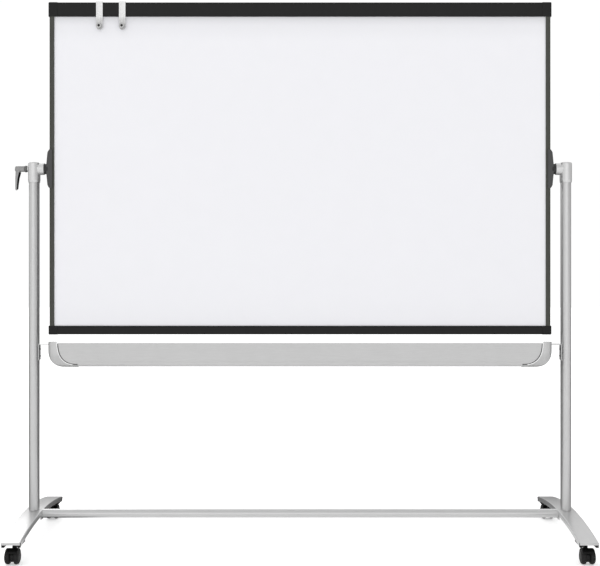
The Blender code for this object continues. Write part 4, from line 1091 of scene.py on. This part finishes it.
def make_floor():
    """Pale paper. To reflections it is darker far behind, beside the feet and behind the left foot."""
    bm = bmesh.new()
    bmesh.ops.create_circle(bm, cap_ends=True, segments=96, radius=14.0)
    mesh = bpy.data.meshes.new("floor")
    bm.to_mesh(mesh)
    bm.free()
    floor = new_object(mesh)
    floor.name = "floor"
    floor.location = (CENTRE_X, 0, -0.0003)
    paper = Paint("floor_paper")
    x, y, seen = paper.axis("X"), paper.axis("Y"), paper.seen()
    distant = paper.spread(y, 0.05, 0.50, 0.97, 0.08)
    distant = paper.maths("MAXIMUM", distant, paper.spread(x, -2.20, -1.20, 0.60, 0.08))
    left, right = paper.spread(x, -1.05, -0.93, 0.40, 1.0), paper.spread(x, 0.95, 1.07, 1.0, 0.40)
    beside = paper.maths("MINIMUM", left, right)
    inside = paper.spread(x, -0.86, -0.70, 0.06, 1.0)
    inside = paper.maths("MAXIMUM", inside, paper.spread(y, -0.08, 0.02, 1.0, 0.0))
    beside = paper.maths("MINIMUM", beside, inside)
    beside = paper.maths("MAXIMUM", beside, paper.spread(y, -0.50, -0.40, 1.0, 0.0))
    shade = paper.maths("MAXIMUM", seen, paper.maths("MINIMUM", distant, beside))
    patchy = paper.spread(paper.noise(3.0), 0.3, 0.7, 0.99, 1.0, "LINEAR")
    paper.colour(grey(248), paper.maths("MULTIPLY", shade, patchy))
    for key, value in (("Roughness", 0.9), ("Specular IOR Level", 0.0), ("Emission Color", (1, 1, 1, 1))):
        paper.shader.inputs[key].default_value = value
    glow = paper.maths("MULTIPLY", paper.maths("ADD", shade, seen), 0.2)
    paper.link(glow, paper.shader.inputs["Emission Strength"])
    floor.data.materials.append(paper.material)


def make_softbox():
    """A faint light from behind the left post, which brightens its inner side."""
    light = bpy.data.lights.new("rear_left_softbox", "AREA")
    light.shape = "RECTANGLE"
    light.size, light.size_y = 1.3, 1.1
    light.energy = 9.0
    obj = bpy.data.objects.new("rear_left_softbox", light)
    SHOP.objects.link(obj)
    place, target = Vector((-1.65, 2.1, 1.75)), Vector((-0.95, -0.2, 0.1))
    obj.location = place
    obj.rotation_euler = (target - place).to_track_quat("-Z", "Y").to_euler()
    obj.visible_camera = False


def make_world():
    """White to the camera. It lights the object from the front and above, and is darker behind."""
    world = bpy.data.worlds.new("studio")
    bpy.context.scene.world = world
    world.use_nodes = True
    sky = Nodes(world.node_tree, "Generated")
    background = world.node_tree.nodes["Background"]
    x, y, z = sky.axis("X"), sky.axis("Y"), sky.axis("Z")
    light = sky.spread(x, 0.6, -0.6, 0.10, 0.36)
    around = sky.spread(y, 0.85, 0.15, 0.0, 0.52)
    lobe = sky.spread(y, -0.80, -0.93, 0.0, 0.60)
    behind = sky.maths("MULTIPLY", sky.spread(y, 0.10, 0.45, 0.0, 1.0), sky.spread(z, 0.08, 0.36, 0.0, 0.80))
    above = sky.spread(z, 0.55, 0.90, 0.0, 0.15)
    for part in (around, lobe, behind, above):
        light = sky.maths("ADD", light, part)
    mix = sky.add("ShaderNodeMix", data_type="FLOAT")
    sky.link(sky.seen(), mix.inputs["Factor"])
    sky.link(light, mix.inputs["A"])
    mix.inputs["B"].default_value = 1.02
    sky.link(mix.outputs["Result"], background.inputs["Strength"])
    background.inputs["Color"].default_value = (1, 1, 1, 1)


def make_camera():
    camera = bpy.data.cameras.new("camera")
    camera.lens = 66.56
    camera.sensor_width = 36
    camera.sensor_fit = "HORIZONTAL"
    camera.shift_y = -0.0767
    camera.clip_start, camera.clip_end = 0.1, 60
    obj = bpy.data.objects.new("camera", camera)
    SHOP.objects.link(obj)
    obj.location = (CENTRE_X, -4.064, 1.108)
    obj.rotation_euler = (math.radians(90), 0, 0)
    bpy.context.scene.camera = obj


make_camera()
make_floor()
make_world()
make_softbox()
make_board()
make_stand()
for side_name, side in SIDES.items():
    for end_name, end in ENDS.items():
        make_caster(side_name, side, end_name, end)
    make_hook(side_name)
repaint("clamp_washer", "silver_casting")
make_clamp_screw()
make_clamp_lever()
bpy.context.scene.view_settings.view_transform = "Standard"
